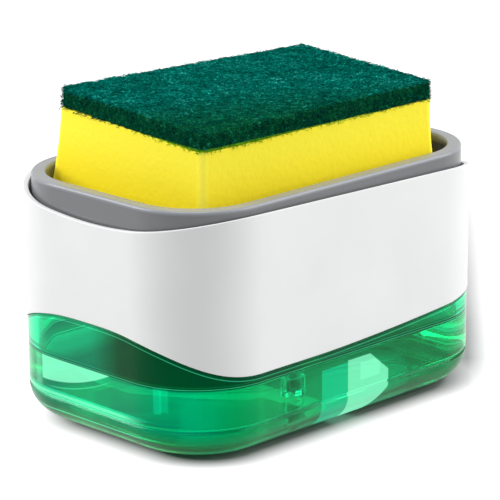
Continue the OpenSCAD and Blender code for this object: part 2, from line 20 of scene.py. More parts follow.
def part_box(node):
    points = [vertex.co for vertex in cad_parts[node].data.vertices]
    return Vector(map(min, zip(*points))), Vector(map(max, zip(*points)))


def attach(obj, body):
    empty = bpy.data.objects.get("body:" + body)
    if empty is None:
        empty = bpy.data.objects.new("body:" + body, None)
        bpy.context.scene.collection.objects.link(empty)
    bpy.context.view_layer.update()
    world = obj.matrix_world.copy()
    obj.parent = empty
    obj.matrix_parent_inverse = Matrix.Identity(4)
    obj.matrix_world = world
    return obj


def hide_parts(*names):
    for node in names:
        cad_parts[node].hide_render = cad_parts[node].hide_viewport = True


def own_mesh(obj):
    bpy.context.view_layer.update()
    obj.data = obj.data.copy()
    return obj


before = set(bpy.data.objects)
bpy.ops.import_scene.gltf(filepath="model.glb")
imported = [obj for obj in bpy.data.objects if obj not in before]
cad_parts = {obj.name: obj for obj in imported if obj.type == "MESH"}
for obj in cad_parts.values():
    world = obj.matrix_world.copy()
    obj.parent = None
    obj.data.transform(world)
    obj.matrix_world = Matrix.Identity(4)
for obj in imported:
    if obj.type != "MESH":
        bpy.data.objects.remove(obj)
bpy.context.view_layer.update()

MM = 0.001
TAU = 2 * math.pi
LOG = logging.getLogger("caddy")
BLACK = (0.0, 0.0, 0.0, 1.0)
WHITE = (1.0, 1.0, 1.0)
# The stretch that holds most of what a noise node gives.
NOISE_SPAN = (0.3, 0.7)
BRUSHED_GLOSS = (0.18, 0.34)
BUMP_HEIGHT = 0.0002
# Distances from a rounding of the two rows that hold its shading.
HOLD = np.array([0.4, 1.5])
# Shares of the outline at which a flat end has its rows.
LID = np.array([0.3, 0.7, 1.0])
# The shader's socket that each output of an effect feeds.
SHADER_SOCKETS = {"Color": "Base Color", "Roughness": "Roughness", "Glow": "Emission Color"}
# Offset, factors, shifts and masks that turn a lattice corner and a seed into one hashed number.
HASH_SHIFT, HASH_AXES, HASH_SEED = 17.31, (73856093, 19349663, 83492791), 2654435761
HASH_ROUNDS = ((13, 1274126177), (15, 2246822519))
HASH_MASK, SHORT_MASK = 0xFFFFFFFF, 0xFFFF
Colour = tuple[float, float, float]
Pair = tuple[float, float]
Curve = Callable[[np.ndarray, np.ndarray], np.ndarray]


class Edge(Enum):
    """The curve that a row of a section follows with its height."""

    FLAT = 0
    ARCH = 1
    DIP = 2


class Lies(Enum):
    """How the fibres of a mat lie."""

    FLAT = "flat"
    HANGING = "hanging"


@dataclass(frozen=True)
class Box:
    """Lowest and highest corner of a node at rest, in millimetres."""

    low: np.ndarray
    high: np.ndarray

    @classmethod
    def of(cls, node: str) -> "Box":
        """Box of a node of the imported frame."""
        low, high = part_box(node)
        return cls(np.array(low) / MM, np.array(high) / MM)

    @property
    def size(self) -> np.ndarray:
        """Length, width and height of the box."""
        return self.high - self.low

    def height(self, share: float) -> float:
        """Height in metres at a share of the way from the foot to the top."""
        return float(self.low[2] + self.size[2] * share) * MM


@dataclass(frozen=True)
class Contour:
    """Rounded rectangle, as a core rectangle and the distance out from it.

    Every outline with the same corner centres is core + distance * normal.
    """

    core_l: float
    core_w: float
    corner_steps: int = 32
    long_steps: int = 24
    short_steps: int = 24

    @classmethod
    def of(cls, node: str, corner_r: float) -> "Contour":
        """Contour whose outline at the corners' radius fills the box of a node."""
        size = Box.of(node).size
        return cls(size[0] - 2 * corner_r, size[1] - 2 * corner_r)

    def points(self) -> tuple[np.ndarray, np.ndarray]:
        """Walks round the core, with a quarter turn of the normal at each corner.

        Returns:
            Core points and outward normals, both n by 2, counterclockwise from +X.
        """
        half = np.array([self.core_l, self.core_w]) / 2
        signs = np.array([[1, 1], [-1, 1], [-1, -1], [1, -1]])
        cores, normals = [], []
        for quarter in range(4):
            corner = signs[quarter] * half
            ahead = signs[(quarter + 1) % 4] * half
            steps = self.short_steps if quarter % 2 else self.long_steps
            turn = (quarter + np.arange(self.corner_steps + 1) / self.corner_steps) * TAU / 4
            along = (np.arange(1, steps) / steps)[:, None]
            cores += [np.repeat(corner[None], len(turn), 0), corner + along * (ahead - corner)]
            way = np.stack([np.cos(turn), np.sin(turn)], 1)
            normals += [way, np.repeat(way[-1:], len(along), 0)]
        return np.concatenate(cores), np.concatenate(normals)


def rows(out: float | list, up: float | list, edge: Edge = Edge.FLAT, scale: float | list = 1.0,
         round_: bool = False) -> np.ndarray:
    """Rows of a section, one for each pair of distance and height.

    Args:
        out: Distance out from the core, or the radius where round_ is set.
        up: Height, over the curve that edge names.
        edge: The curve that the height follows.
        scale: Shrinks the outline towards its middle, for a flat lid.
        round_: Makes the rows circles about the Z axis.

    Returns:
        An array of n rows with out, up, edge, scale and round_.
    """
    columns = np.broadcast_arrays(np.atleast_1d(np.asarray(out, float)), np.asarray(up, float),
                                  float(edge.value), np.asarray(scale, float), float(round_))
    return np.stack(columns, 1)


def arc(out: float, up: float, radius: float, start: float, stop: float, steps: int = 6,
        edge: Edge = Edge.FLAT, round_: bool = False, wide: float | None = None) -> np.ndarray:
    """Rows along an arc: centre + (wide * cos a, radius * sin a), with a in degrees from start to stop."""
    turn = np.radians(np.linspace(start, stop, steps + 1))
    return rows(out + (wide or radius) * np.cos(turn), up + radius * np.sin(turn), edge, round_=round_)


def grid_faces(tall: int, wide: int, wrap_tall: bool, wrap_wide: bool, first: int = 0) -> np.ndarray:
    """Quads of a grid of points, row by row, that wrap round where asked.

    Returns:
        An n by 4 array of point numbers, counting from first.
    """
    row = np.arange(tall if wrap_tall else tall - 1)[:, None]
    col = np.arange(wide if wrap_wide else wide - 1)[None, :]
    over, beside = (row + 1) % tall, (col + 1) % wide
    quads = np.stack([row * wide + col, row * wide + beside, over * wide + beside, over * wide + col], -1)
    return quads.reshape(-1, 4) + first


def link(name: str, data: bpy.types.ID) -> bpy.types.Object:
    """Puts a new object with its data in the scene."""
    made = bpy.data.objects.new(name, data)
    bpy.context.scene.collection.objects.link(made)
    return made


def outward(azimuth: float, elevation: float) -> Vector:
    """Way from the object at an azimuth, which is 0 on the -Y side, and an elevation in degrees."""
    a, e = math.radians(azimuth), math.radians(elevation)
    return Vector((-math.sin(a) * math.cos(e), -math.cos(a) * math.cos(e), math.sin(e)))


@dataclass
class Skin:
    """Points in millimetres with the quads and triangles that join them."""

    points: np.ndarray
    quads: np.ndarray = field(default_factory=lambda: np.zeros((0, 4), int))
    triangles: np.ndarray = field(default_factory=lambda: np.zeros((0, 3), int))

    def __add__(self, other: "Skin") -> "Skin":
        """Both skins side by side in one."""
        shift = len(self.points)
        return Skin(np.concatenate([self.points, other.points]),
                    np.concatenate([self.quads, other.quads + shift]),
                    np.concatenate([self.triangles, other.triangles + shift]))

    def turned(self, degrees: float) -> "Skin":
        """The skin turned about the Z axis."""
        c, s = math.cos(math.radians(degrees)), math.sin(math.radians(degrees))
        spin = np.array([[c, s, 0], [-s, c, 0], [0, 0, 1]])
        return Skin(self.points @ spin, self.quads, self.triangles)

    def mirrored(self, x: int, y: int) -> "Skin":
        """The skin mirrored where x or y is -1, with its faces still outwards."""
        flip = slice(None, None, x * y)
        return Skin(self.points * np.array([x, y, 1]), self.quads[:, flip], self.triangles[:, flip])

    def piece(self, name: str, finish: "Finish", body: str, slot: str, stands_for: tuple[str, ...] = (),
              marks: dict[str, np.ndarray] | None = None) -> bpy.types.Object:
        """Makes the skin an object that rides on a body.

        Args:
            name: Name of the piece.
            finish: Its finish.
            body: The body that it rides on.
            slot: Not used.
            stands_for: The nodes that it replaces.
            marks: Values for each point that the finish reads, by name.

        Returns:
            The new object, at the origin.
        """
        mesh = bpy.data.meshes.new(name)
        mesh.vertices.add(len(self.points))
        mesh.vertices.foreach_set("co", (self.points * MM).astype(np.float32).ravel())
        corners = np.concatenate([self.quads.ravel(), self.triangles.ravel()]).astype(np.int32)
        sizes = np.concatenate([np.full(len(self.quads), 4), np.full(len(self.triangles), 3)])
        mesh.loops.add(len(corners))
        mesh.loops.foreach_set("vertex_index", corners)
        mesh.polygons.add(len(sizes))
        mesh.polygons.foreach_set("loop_start", (np.cumsum(sizes) - sizes).astype(np.int32))
        mesh.polygons.foreach_set("use_smooth", np.full(len(sizes), True))
        mesh.update(calc_edges=True)
        mesh.validate()
        for mark, values in (marks or {}).items():
            mesh.attributes.new(mark, "FLOAT", "POINT").data.foreach_set("value", values.astype(np.float32))
        mesh.materials.append(finish.material())
        piece = link(name, mesh)
        if stands_for:
            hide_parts(*stands_for)
        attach(piece, body)
        LOG.info("%s: %d faces, rides on %s", name, len(sizes), body)
        return piece


def row_points(contour: Contour, section: np.ndarray, curves: dict[int, Curve] | None = None) -> np.ndarray:
    """Points of each row of a section carried round a contour.

    A point is scale * (core + out * normal), or out * unit on a round row, and
    its height is up plus the row's curve at the point's own X and Y.

    Returns:
        An array of rows by places round the contour by 3.
    """
    core, normal = contour.points()
    out, up, edge, scale, round_ = (section[:, k, None] for k in range(5))
    unit = core + normal * contour.core_w
    unit = unit / np.linalg.norm(unit, axis=1, keepdims=True)
    plain = scale[..., None] * (core[None] + out[..., None] * normal[None])
    flat = np.where(round_[..., None] > 0, out[..., None] * unit[None], plain)
    height = np.repeat(up, flat.shape[1], 1)
    for kind, curve in (curves or {}).items():
        height = height + np.where(edge == kind, curve(flat[..., 0], flat[..., 1]), 0.0)
    return np.concatenate([flat, height[..., None]], 2)


def loft(grid: np.ndarray, ring: bool) -> Skin:
    """Skin over rows of points that run upwards on the outside.

    Args:
        grid: Rows by places by 3.
        ring: Whether the last row joins the first. Otherwise each end closes in its middle point.

    Returns:
        The closed skin.
    """
    tall, wide = grid.shape[:2]
    points, quads = grid.reshape(-1, 3), grid_faces(tall, wide, ring, True)
    if ring:
        return Skin(points, quads)
    ends = np.stack([grid[0].mean(0), grid[-1].mean(0)])
    col = np.arange(wide)
    beside = (col + 1) % wide
    low = np.stack([np.full(wide, tall * wide), beside, col], 1)
    top = np.stack([np.full(wide, tall * wide + 1), col, beside], 1)
    top[:, 1:] += (tall - 1) * wide
    return Skin(np.concatenate([points, ends]), quads, np.concatenate([low, top]))


def normals_of(grid: np.ndarray) -> np.ndarray:
    """Outward normals of a grid of rows: the way round crossed with the way up."""
    around = np.roll(grid, -1, 1) - np.roll(grid, 1, 1)
    upward = np.gradient(grid, axis=0)
    out = np.cross(around, upward)
    return out / np.maximum(np.linalg.norm(out, axis=2, keepdims=True), 1e-9)


def noise(points: np.ndarray, cell: float, seed: int) -> np.ndarray:
    """Value noise: hashed numbers on a lattice of the cell's size, blended smoothly between its corners.

    Args:
        points: Any array of points whose last axis is 3.
        cell: Size of a lattice cell, in millimetres.
        seed: Number that picks the pattern.

    Returns:
        Values from -1 to 1, one for each point.
    """
    at = points / cell + seed * HASH_SHIFT
    base = np.floor(at).astype(np.int64)
    share = at - base
    share = share * share * (3 - 2 * share)
    total = np.zeros(points.shape[:-1])
    for step in range(8):
        corner = np.array([step & 1, step >> 1 & 1, step >> 2 & 1])
        key = ((base + corner) * np.array(HASH_AXES)).sum(-1) + seed * HASH_SEED
        for shift, factor in HASH_ROUNDS:
            key = (key ^ key >> shift) * factor & HASH_MASK
        weight = np.where(corner > 0, share, 1 - share).prod(-1)
        total += weight * ((key & SHORT_MASK) / (SHORT_MASK / 2) - 1)
    return total


def rounded_block(low: np.ndarray, high: np.ndarray, radius: float) -> Skin:
    """Block with rounded edges: a point of a plain block is pulled to the inner block plus radius.

    Each side's grid has its lines close together near the edges, where they follow the rounding.

    Returns:
        The skin of six grids, with their borders shared in place.
    """
    middle, half = (low + high) / 2, (high - low) / 2
    bend = np.tan(np.linspace(0, 1, 3) * math.pi / 4)
    skin = None
    for axis in range(3):
        for side in (-1, 1):
            u, v = (axis + 1) % 3, (axis + 2) % 3
            near = [half[k] - radius + radius * bend for k in (u, v)]
            lines = [np.concatenate([-line[::-1], line]) for line in near]
            grid = np.full((len(lines[1]), len(lines[0]), 3), side * half[axis])
            grid[..., u], grid[..., v] = np.meshgrid(*lines)
            inner = np.clip(grid, -(half - radius), half - radius)
            away = grid - inner
            grid = inner + radius * away / np.maximum(np.linalg.norm(away, axis=2, keepdims=True), 1e-9)
            quads = grid_faces(*grid.shape[:2], False, False)
            part = Skin(grid.reshape(-1, 3) + middle, quads[:, ::side])
            skin = part if skin is None else skin + part
    return skin


def tube_along(path: np.ndarray, radius: float, sides: int) -> Skin:
    """Tube round a path: at each point a circle across the path, turned by its own two normals.

    Args:
        path: Points along the middle, n by 3, or many paths at once, m by n by 3.
        radius: Radius of the tube.
        sides: Number of sides.

    Returns:
        The skin, with a flat fan at each end.
    """
    paths = path if path.ndim == 3 else path[None]
    many, long = paths.shape[:2]
    ahead = np.gradient(paths, axis=1)
    ahead /= np.linalg.norm(ahead, axis=2, keepdims=True)
    side = np.cross(ahead, np.array([0.0, 0.0, 1.0]))
    side /= np.maximum(np.linalg.norm(side, axis=2, keepdims=True), 1e-9)
    over = np.cross(side, ahead)
    turn = np.arange(sides) / sides * TAU
    ring = side[:, :, None] * np.cos(turn)[:, None] + over[:, :, None] * np.sin(turn)[:, None]
    points = (paths[:, :, None] + radius * ring).reshape(-1, 3)
    quads = grid_faces(long, sides, False, True)[:, ::-1]
    caps = np.stack([np.zeros(sides - 2, int), np.arange(1, sides - 1), np.arange(2, sides)], 1)
    caps = np.concatenate([caps, caps[:, ::-1] + (long - 1) * sides])
    shift = (np.arange(many) * long * sides)[:, None, None]
    return Skin(points, (quads + shift).reshape(-1, 4), (caps + shift).reshape(-1, 3))


def operator(operation: str, turned: bool = False) -> Callable[..., "Value"]:
    """A method of Value that adds a Math node on itself and another value, or turned, the other way round."""
    def method(self: "Value", other: object = 0.0) -> "Value":
        node = self.graph.add("Math", {"operation": operation})
        for socket, source in zip(node.inputs, (other, self) if turned else (self, other)):
            self.graph.feed(socket, source)
        return Value(self.graph, node.outputs[0])
    return method


class Value:
    """A node's output. Arithmetic on it adds Math nodes to its tree and gives their output."""

    __add__ = __radd__ = operator("ADD")
    __mul__ = __rmul__ = operator("MULTIPLY")
    __sub__, __rsub__ = operator("SUBTRACT"), operator("SUBTRACT", turned=True)
    __truediv__, __pow__, __abs__ = operator("DIVIDE"), operator("POWER"), operator("ABSOLUTE")
    most, least, root, sign = (operator(name) for name in ("MAXIMUM", "MINIMUM", "SQRT", "SIGN"))

    def __init__(self, graph: "Graph", socket: bpy.types.NodeSocket) -> None:
        """Wraps an output of the graph's tree."""
        self.graph, self.socket = graph, socket

    def span(self, low: object = 0.0, high: object = 1.0, to_low: object = 0.0,
             to_high: object = 1.0) -> "Value":
        """Carries the stretch from low to high over to another one and stops at its ends."""
        return self.graph.out("MapRange", Value=self, From_Min=low, From_Max=high, To_Min=to_low,
                              To_Max=to_high)

    def rises(self, at: object, soft: float) -> "Value":
        """0 below a height and 1 above it, with a soft step."""
        return (self - at).span(-soft, soft)

    def falls(self, at: object, soft: float) -> "Value":
        """1 below a height and 0 above it, with a soft step."""
        return (self - at).span(-soft, soft, 1.0, 0.0)

    def within(self, low: object, high: object, soft: float) -> "Value":
        """1 between two heights and 0 outside them, with soft steps."""
        return self.rises(low, soft) * self.falls(high, soft)

    def mix(self, low: object, high: object) -> "Value":
        """Blend of two colours: the first where the value is 0 and the second where it is 1."""
        node = self.graph.add("Mix", {"data_type": "RGBA"})
        for number, source in ((0, self), (6, low), (7, high)):
            self.graph.feed(node.inputs[number], source)
        return Value(self.graph, node.outputs[2])


class Graph:
    """A node tree with short calls that add and join nodes."""

    def __init__(self, tree: bpy.types.NodeTree) -> None:
        """Starts on an existing tree."""
        self.tree = tree

    def add(self, kind: str, settings: dict | None = None, **values: object) -> bpy.types.Node:
        """Adds a node, with its settings and the values or sources of its inputs.

        Args:
            kind: Blender's name of the node type, without ShaderNode.
            settings: Properties of the node.
            **values: Inputs by name, with _ for a space: a number, a colour or another node's output.

        Returns:
            The new node.
        """
        node = self.tree.nodes.new("ShaderNode" + kind)
        for key, value in (settings or {}).items():
            setattr(node, key, value)
        for key, value in values.items():
            self.feed(node.inputs[key.replace("_", " ")], value)
        return node

    def out(self, kind: str, output: int | str = 0, **values: object) -> Value:
        """An output of a new node, by its number or name."""
        return Value(self, self.add(kind, **values).outputs[output])

    def feed(self, socket: bpy.types.NodeSocket, value: object) -> None:
        """Joins an output to a socket, or sets the socket's own value."""
        if isinstance(value, Value):
            self.tree.links.new(value.socket, socket)
        elif socket.type == "RGBA" and len(value) == 3:
            socket.default_value = (*value, 1.0)
        else:
            socket.default_value = value

    def place(self) -> Value:
        """The shaded point in the object's own coordinates, in metres."""
        return self.out("TexCoord", "Object")

    def axes(self) -> list[Value]:
        """X, Y and Z of the shaded point."""
        split = self.add("SeparateXYZ", Vector=self.place())
        return [Value(self, output) for output in split.outputs]

    def noise(self, scale: object, detail: float, at: Value | None = None) -> Value:
        """Noise of a scale at the shaded point or at another one."""
        return self.out("TexNoise", Vector=at or self.place(), Scale=scale, Detail=detail)

    def mark(self, name: str) -> Value:
        """The value that the mesh holds under a name."""
        return Value(self, self.add("Attribute", {"attribute_name": name}).outputs["Fac"])


class Effect:
    """A shader node group with colours and numbers as inputs, built once."""

    name = "effect"
    tones: tuple[str, ...] = ()
    numbers: tuple[str, ...] = ()
    outputs: tuple[str, ...] = ("Color", "Roughness", "Height")

    @classmethod
    def tree(cls) -> bpy.types.NodeTree:
        """The group's tree, built at its first use."""
        found = bpy.data.node_groups.get(cls.name)
        if found:
            return found
        tree = bpy.data.node_groups.new(cls.name, "ShaderNodeTree")
        for way, names in (("INPUT", cls.tones + cls.numbers), ("OUTPUT", cls.outputs)):
            for name in names:
                kind = "NodeSocketColor" if name in (*cls.tones, "Color", "Glow") else "NodeSocketFloat"
                tree.interface.new_socket(name=name, in_out=way, socket_type=kind)
        graph = Graph(tree)
        sources = tree.nodes.new("NodeGroupInput").outputs
        given = [Value(graph, source) for _, source in zip(cls.tones + cls.numbers, sources)]
        for socket, value in zip(tree.nodes.new("NodeGroupOutput").inputs, cls.wire(graph, given)):
            graph.feed(socket, value)
        return tree

    @classmethod
    def wire(cls, graph: Graph, given: list[Value]) -> tuple[Value, ...]:
        """Builds the nodes from the tones and numbers, in order, and returns the outputs in order."""
        raise NotImplementedError

    @classmethod
    def place(cls, graph: Graph, *values: object) -> dict[str, Value]:
        """Places the group in a material.

        Args:
            graph: The material's graph.
            *values: The tones and then the numbers, in order.

        Returns:
            The group's outputs by name.
        """
        node = graph.tree.nodes.new("ShaderNodeGroup")
        node.node_tree = cls.tree()
        for socket, value in zip(node.inputs, values, strict=True):
            graph.feed(socket, value)
        return {output.name: Value(graph, output) for output in node.outputs}


class Grain(Effect):
    """Soft change of tone over centimetres, and a fine grain in gloss and height."""

    name = "moulded_grain"
    tones = ("Low Tone", "High Tone")
    numbers = ("Tone Scale", "Grain Scale", "Low Roughness", "High Roughness")

    @classmethod
    def wire(cls, graph: Graph, given: list[Value]) -> tuple[Value, ...]:
        """Tone from the broad noise, gloss and height from the fine one."""
        low, high, broad, fine, smooth, rough = given
        grain = graph.noise(fine, 3.0)
        tone = graph.noise(broad, 2.0).span(*NOISE_SPAN).mix(low, high)
        return tone, grain.span(*NOISE_SPAN, smooth, rough), grain


class Brushed(Effect):
    """Fine lines round or along a metal piece."""

    name = "brushed_lines"
    tones = ("Low Tone", "High Tone")
    numbers = ("Line Scale", "Stretch")

    @classmethod
    def wire(cls, graph: Graph, given: list[Value]) -> tuple[Value, ...]:
        """Tone, gloss and height from a noise that is drawn out along Z."""
        low, high, scale, stretch = given
        x, y, z = graph.axes()
        lines = graph.noise(scale, 4.0, graph.out("CombineXYZ", X=x, Y=y, Z=z * stretch))
        return lines.mix(low, high), lines.span(*NOISE_SPAN, *BRUSHED_GLOSS), lines


class Pores(Effect):
    """Open cells of a foam: round pits with bright walls, at two sizes.

    The foam is warmer at its foot. Its upright edges, which the mark corner gives, are paler and glow,
    a painted highlight, and a faint painted glow covers the rest of the foam.
    """

    name = "foam_pores"
    tones = ("Pit Tone", "Wall Tone", "Foot Tone", "Edge Tone", "Edge Glow")
    numbers = ("Cell Scale", "Foot", "Top")
    outputs = ("Color", "Glow", "Height")
    finer = 2.3
    cell_reach, small_reach, small_depth, least_glow = 0.6, 0.5, 0.35, 0.2

    @classmethod
    def wire(cls, graph: Graph, given: list[Value]) -> tuple[Value, ...]:
        """The pits' depth picks between pit and wall; the corner mark pales both with a painted highlight."""
        pit, wall, foot_tone, rim, glow, scale, foot, top = given
        cells, small = (graph.out("TexVoronoi", "Distance", Vector=graph.place(), Scale=cell)
                        for cell in (scale, scale * cls.finer))
        deep = cells.span(0.0, cls.cell_reach) * small.span(0.0, cls.small_reach, cls.small_depth, 1.0)
        edge = graph.mark("corner")
        # Paler upright edges with their glow are a painted highlight, and the foam glows faintly all over.
        pale = edge.mix(graph.axes()[2].span(foot, top).mix(foot_tone, wall), rim)
        light = edge.span(0.0, 1.0, cls.least_glow, 1.0).mix(BLACK, glow)
        return deep.mix(edge.mix(pit, pale), pale), light, deep


class Matted(Effect):
    """Tones of a matted fibre: hollows, fibres and pale flecks on top, greener sides darkened by painted
    shade, and a pale fringe.

    The height over the floor picks the tone: the fringe is below Foot, the sides reach up to Top.
    """

    name = "matted_fibre"
    tones = ("Hollow Tone", "Fibre Tone", "Fleck Tone", "Side Tone", "Fringe Tone")
    numbers = ("Fibre Scale", "Foot", "Top")
    outputs = ("Color", "Height")
    side_soft, fringe_soft = 0.0011, 0.0003
    fine_share, coarse_share, coarser, side_shade = 0.65, 0.35, 0.22, 0.03
    fibre_from, fleck_from, fleck_full, side_flecks = 0.4, 0.56, 0.66, 0.6

    @classmethod
    def wire(cls, graph: Graph, given: list[Value]) -> tuple[Value, ...]:
        """A fine and a coarse noise pick hollow, fibre or fleck, with fewer flecks on the sides."""
        hollow, fibre, fleck, side_tone, fringe_tone, scale, foot, top = given
        thick, height = graph.noise(scale, 3.0), graph.axes()[2]
        side = height.span(top - cls.side_soft, top, 1.0, 0.0)
        fringe = height.span(foot - cls.fringe_soft, foot, 1.0, 0.0)
        coarse = graph.noise(scale * cls.coarser, 2.0)
        # Painted shade on the sides: more hollows, fewer flecks and the darker side tone.
        share = thick * cls.fine_share + coarse * cls.coarse_share - side * cls.side_shade
        body = share.span(cls.fibre_from, cls.fleck_from).mix(hollow, side.mix(fibre, side_tone))
        flecks = share.span(cls.fleck_from, cls.fleck_full) * side.span(0.0, 1.0, 1.0, cls.side_flecks)
        return fringe.mix(flecks.mix(body, fleck), fringe_tone), thick


class Stepped(Effect):
    """Tones by height: a body, a paler rim over Rim Height, which is painted top light, and a darker hollow
    in the basin where the mesh's mark says, which is painted shade.
    """

    name = "stepped_tones"
    tones = ("Body Tone", "Rim Tone", "Hollow Tone")
    numbers = ("Rim Height", "Low Roughness", "High Roughness", "Grain Scale")

    @classmethod
    def wire(cls, graph: Graph, given: list[Value]) -> tuple[Value, ...]:
        """Tone from the height and the mark, gloss and height from the grain."""
        body, rim, hollow, height, smooth, rough, scale = given
        grain = graph.noise(scale, 2.0)
        # The paler rim is painted top light, and the mark's darker hollow is painted shade.
        tone = graph.axes()[2].rises(height, 0.0004).mix(body, rim)
        return graph.mark("sunken").mix(tone, hollow), grain.span(*NOISE_SPAN, smooth, rough), grain


class Filled(Effect):
    """Tones of a clear wall with soap behind it, in millimetres over the floor, and painted light on it.

    Above the level the wall takes a painted shade of the lid, most at two opposite corners, and it takes
    painted shade towards the foot. A painted shade line and a painted highlight line follow the shell's
    edge, which the mark rim_gap gives, and the level. Pale glowing windows, alike after half a turn, are
    painted reflections of the softboxes. They lie on the outer wall alone, which is Foot Round and Foot
    Reach away from the line through the centres of the foot's oval. Painted highlights also glow in strips
    and along the groove, and a faint painted glow lies over the wall, stronger on the ends.
    """

    name = "filled_wall"
    tones = ("End Tone", "Side Tone", "Dry Tone", "Deep Tone", "Line Tone", "Window Glow", "Band Glow",
             "Line Glow", "End Glow")
    numbers = ("Level", "End Core", "Side Core", "Foot Height", "Foot Round", "Foot Reach", "Groove")
    outputs = ("Color", "Glow")
    # A faint painted glow over the whole wall.
    faint_glow = (0.0, 0.024, 0.007, 1.0)
    # Both ends of each mark across its face and the softness of its edges, in millimetres. The marks are
    # painted softbox reflections and painted highlights.
    pane, sliver, stripe, echo = (-20.0, 24.2, 0.5), (24.5, 36.0, 1.0), (-31.0, -28.4, 0.3), (-8.0, 20.0, 3.0)
    front, core, band = (-3.9, 15.6, 0.12), (2.0, 11.5, 0.4), (-16.2, -3.9, 0.12)
    groove, low_line = (-20.0, 37.0, 5.0), (-24.0, 32.0, 6.0)
    # The same in height: under the shell's edge, over the level, over the floor and over the groove.
    rim, rim_light = (-9.0, 1.0, 0.15), (1.45, 1.7, 0.12)
    tide, tide_light = (-0.1, 1.0, 0.12), (0.3, 0.5, 0.1)
    core_height, band_height, front_top = (15.5, 21.5, 0.4), (3.0, 23.0, 0.15), (23.7, 0.15)
    pair_high, pair_low, line_height = (1.0, 2.0, 0.2), (-0.6, 0.6, 0.2), (-4.6, -4.2, 0.12)
    # The foot of the end's painted reflection is a parabola: the place and height of its lowest point
    # and its curvature.
    foot_place, foot_height, foot_bend = 24.0, 17.6, 0.0074

    @classmethod
    def wire(cls, graph: Graph, given: list[Value]) -> tuple[Value, ...]:
        """The painted marks of the ends and the long sides, then the tones and the glow that they pick."""
        (end_tone, side_tone, dry_tone, deep, line, window_glow, band_glow, line_glow, end_glow,
         level, end_core, side_core, centre, foot_round, foot_reach, groove_z) = given
        x, y, z = (axis * (1 / MM) for axis in graph.axes())
        gap, up = graph.mark("rim_gap"), z - groove_z
        down = (z - centre).least(0.0) / foot_round
        outs = [(abs(way) - core).most(0.0) / foot_reach for way, core in ((y, side_core), (x, end_core))]
        side, end = ((out * out + down * down).root().rises(0.91, 0.02) for out in outs)
        wide_end = abs(x).rises(end_core, 6.0)
        across, along = y * -1.0 * x.sign(), x * -1.0 * y.sign()
        corner = (x * y).span(0.0, 1000.0)
        dry, under, over = z.rises(level, 0.15), level - 0.1, z - level
        # Painted shade lines under the shell's edge and at the level, and painted highlight lines by them.
        dark_line = gap.within(*cls.rim).most(over.within(*cls.tide))
        pale_line = gap.within(*cls.rim_light).most(over.within(*cls.tide_light))
        # Painted softbox reflections on the ends and the front, and painted highlight lines and strips.
        foot = abs(cls.foot_place - across) ** 2.0 * cls.foot_bend + cls.foot_height
        echo = end * z.within(foot - 2.3, foot - 1.9, 0.12) * across.within(*cls.echo) * z.falls(under, 0.3)
        pane = end * z.within(foot, under, 0.15) * across.within(*cls.pane)
        sliver = end * z.within(15.0, under, 0.3) * across.within(*cls.sliver)
        stripe = wide_end * z.within(17.5, level, 0.3) * across.within(*cls.stripe)
        slant = z.within(along * 0.95 - 4.5, 29.4 - along * 0.838, 0.3)
        front = side * slant * along.within(*cls.front) * z.falls(*cls.front_top)
        core = side * z.within(*cls.core_height) * along.within(*cls.core)
        band = side * z.within(*cls.band_height) * along.within(*cls.band)
        # Painted highlight lines along the groove and just below it.
        pair = up.within(*cls.pair_high) + up.within(*cls.pair_low) * 0.6
        groove = wide_end * across.within(*cls.groove) * pair
        low_line = wide_end * across.within(*cls.low_line) * up.within(*cls.line_height)
        # All the painted softbox reflections in one.
        window = pane.most(sliver * 0.35).most(front * (core * 0.18 + 0.82))
        # Painted shade towards the foot, under the lid at two corners and along the shade lines.
        foot_shade = up.span(-5.0, -0.5, 1.0, 0.0)
        body = dry.mix(wide_end.mix(side_tone, end_tone), corner.mix(dry_tone, deep))
        body = (foot_shade * 0.5).mix(dark_line.mix(body, line), line)
        # Painted glow: faint over the wall, more on the ends, most in the strips and reflections.
        lit = wide_end * (1.0 - dry * corner) * (1.0 - foot_shade)
        strip = band.most(stripe).mix(lit.mix(cls.faint_glow, end_glow), band_glow)
        glow = window.most(groove * 0.75).mix(strip, window_glow)
        pale_line = pale_line.most(echo.most(low_line))
        # The tint goes darker under the painted reflections, and the painted highlight lines glow.
        return (window * 0.6).mix(body, BLACK), pale_line.mix(glow, line_glow)


@dataclass(frozen=True)
class Finish:
    """A surface whose tones, gloss and grain come from an effect.

    The effect takes the tones and numbers in its own order, and the second tone stands for the finish.
    """

    name: str
    tones: tuple[Colour, ...]
    numbers: tuple[float, ...]
    bump: float = 0.03
    group: type[Effect] = Grain
    extras: tuple[tuple[str, object], ...] = ()

    def material(self) -> bpy.types.Material:
        """The material, made at its first use."""
        found = bpy.data.materials.get(self.name)
        if found:
            return found
        made = bpy.data.materials.new(self.name)
        made.use_nodes = True
        made.diffuse_color = (*self.tones[1], 1.0)
        graph = Graph(made.node_tree)
        effect = self.group.place(graph, *self.tones, *self.numbers)
        bump = graph.out("Bump", Strength=self.bump, Distance=BUMP_HEIGHT, Height=effect["Height"])
        fed = {socket: effect[name] for name, socket in SHADER_SOCKETS.items() if name in effect}
        for name, value in {**fed, "Normal": bump, **self.values(graph)}.items():
            graph.feed(made.node_tree.nodes["Principled BSDF"].inputs[name], value)
        return made

    def values(self, graph: Graph) -> dict[str, object]:
        """Values of the shader's sockets that the effect doesn't feed, by name."""
        return dict(self.extras)


@dataclass(frozen=True)
class Clear(Finish):
    """A clear plastic or liquid that takes its colour from its depth."""

    ior: float = 1.49
    surface: Colour = WHITE
    depth_tone: Colour = WHITE
    density: float = 0.0

    def values(self, graph: Graph) -> dict[str, object]:
        """The plain values of glass. The absorption goes to the material's volume."""
        if self.density:
            volume = graph.out("VolumeAbsorption", Color=self.depth_tone, Density=self.density)
            graph.feed(graph.tree.nodes["Material Output"].inputs["Volume"], volume)
        return {"Base Color": self.surface, "Transmission Weight": 1.0, "IOR": self.ior,
                **super().values(graph)}


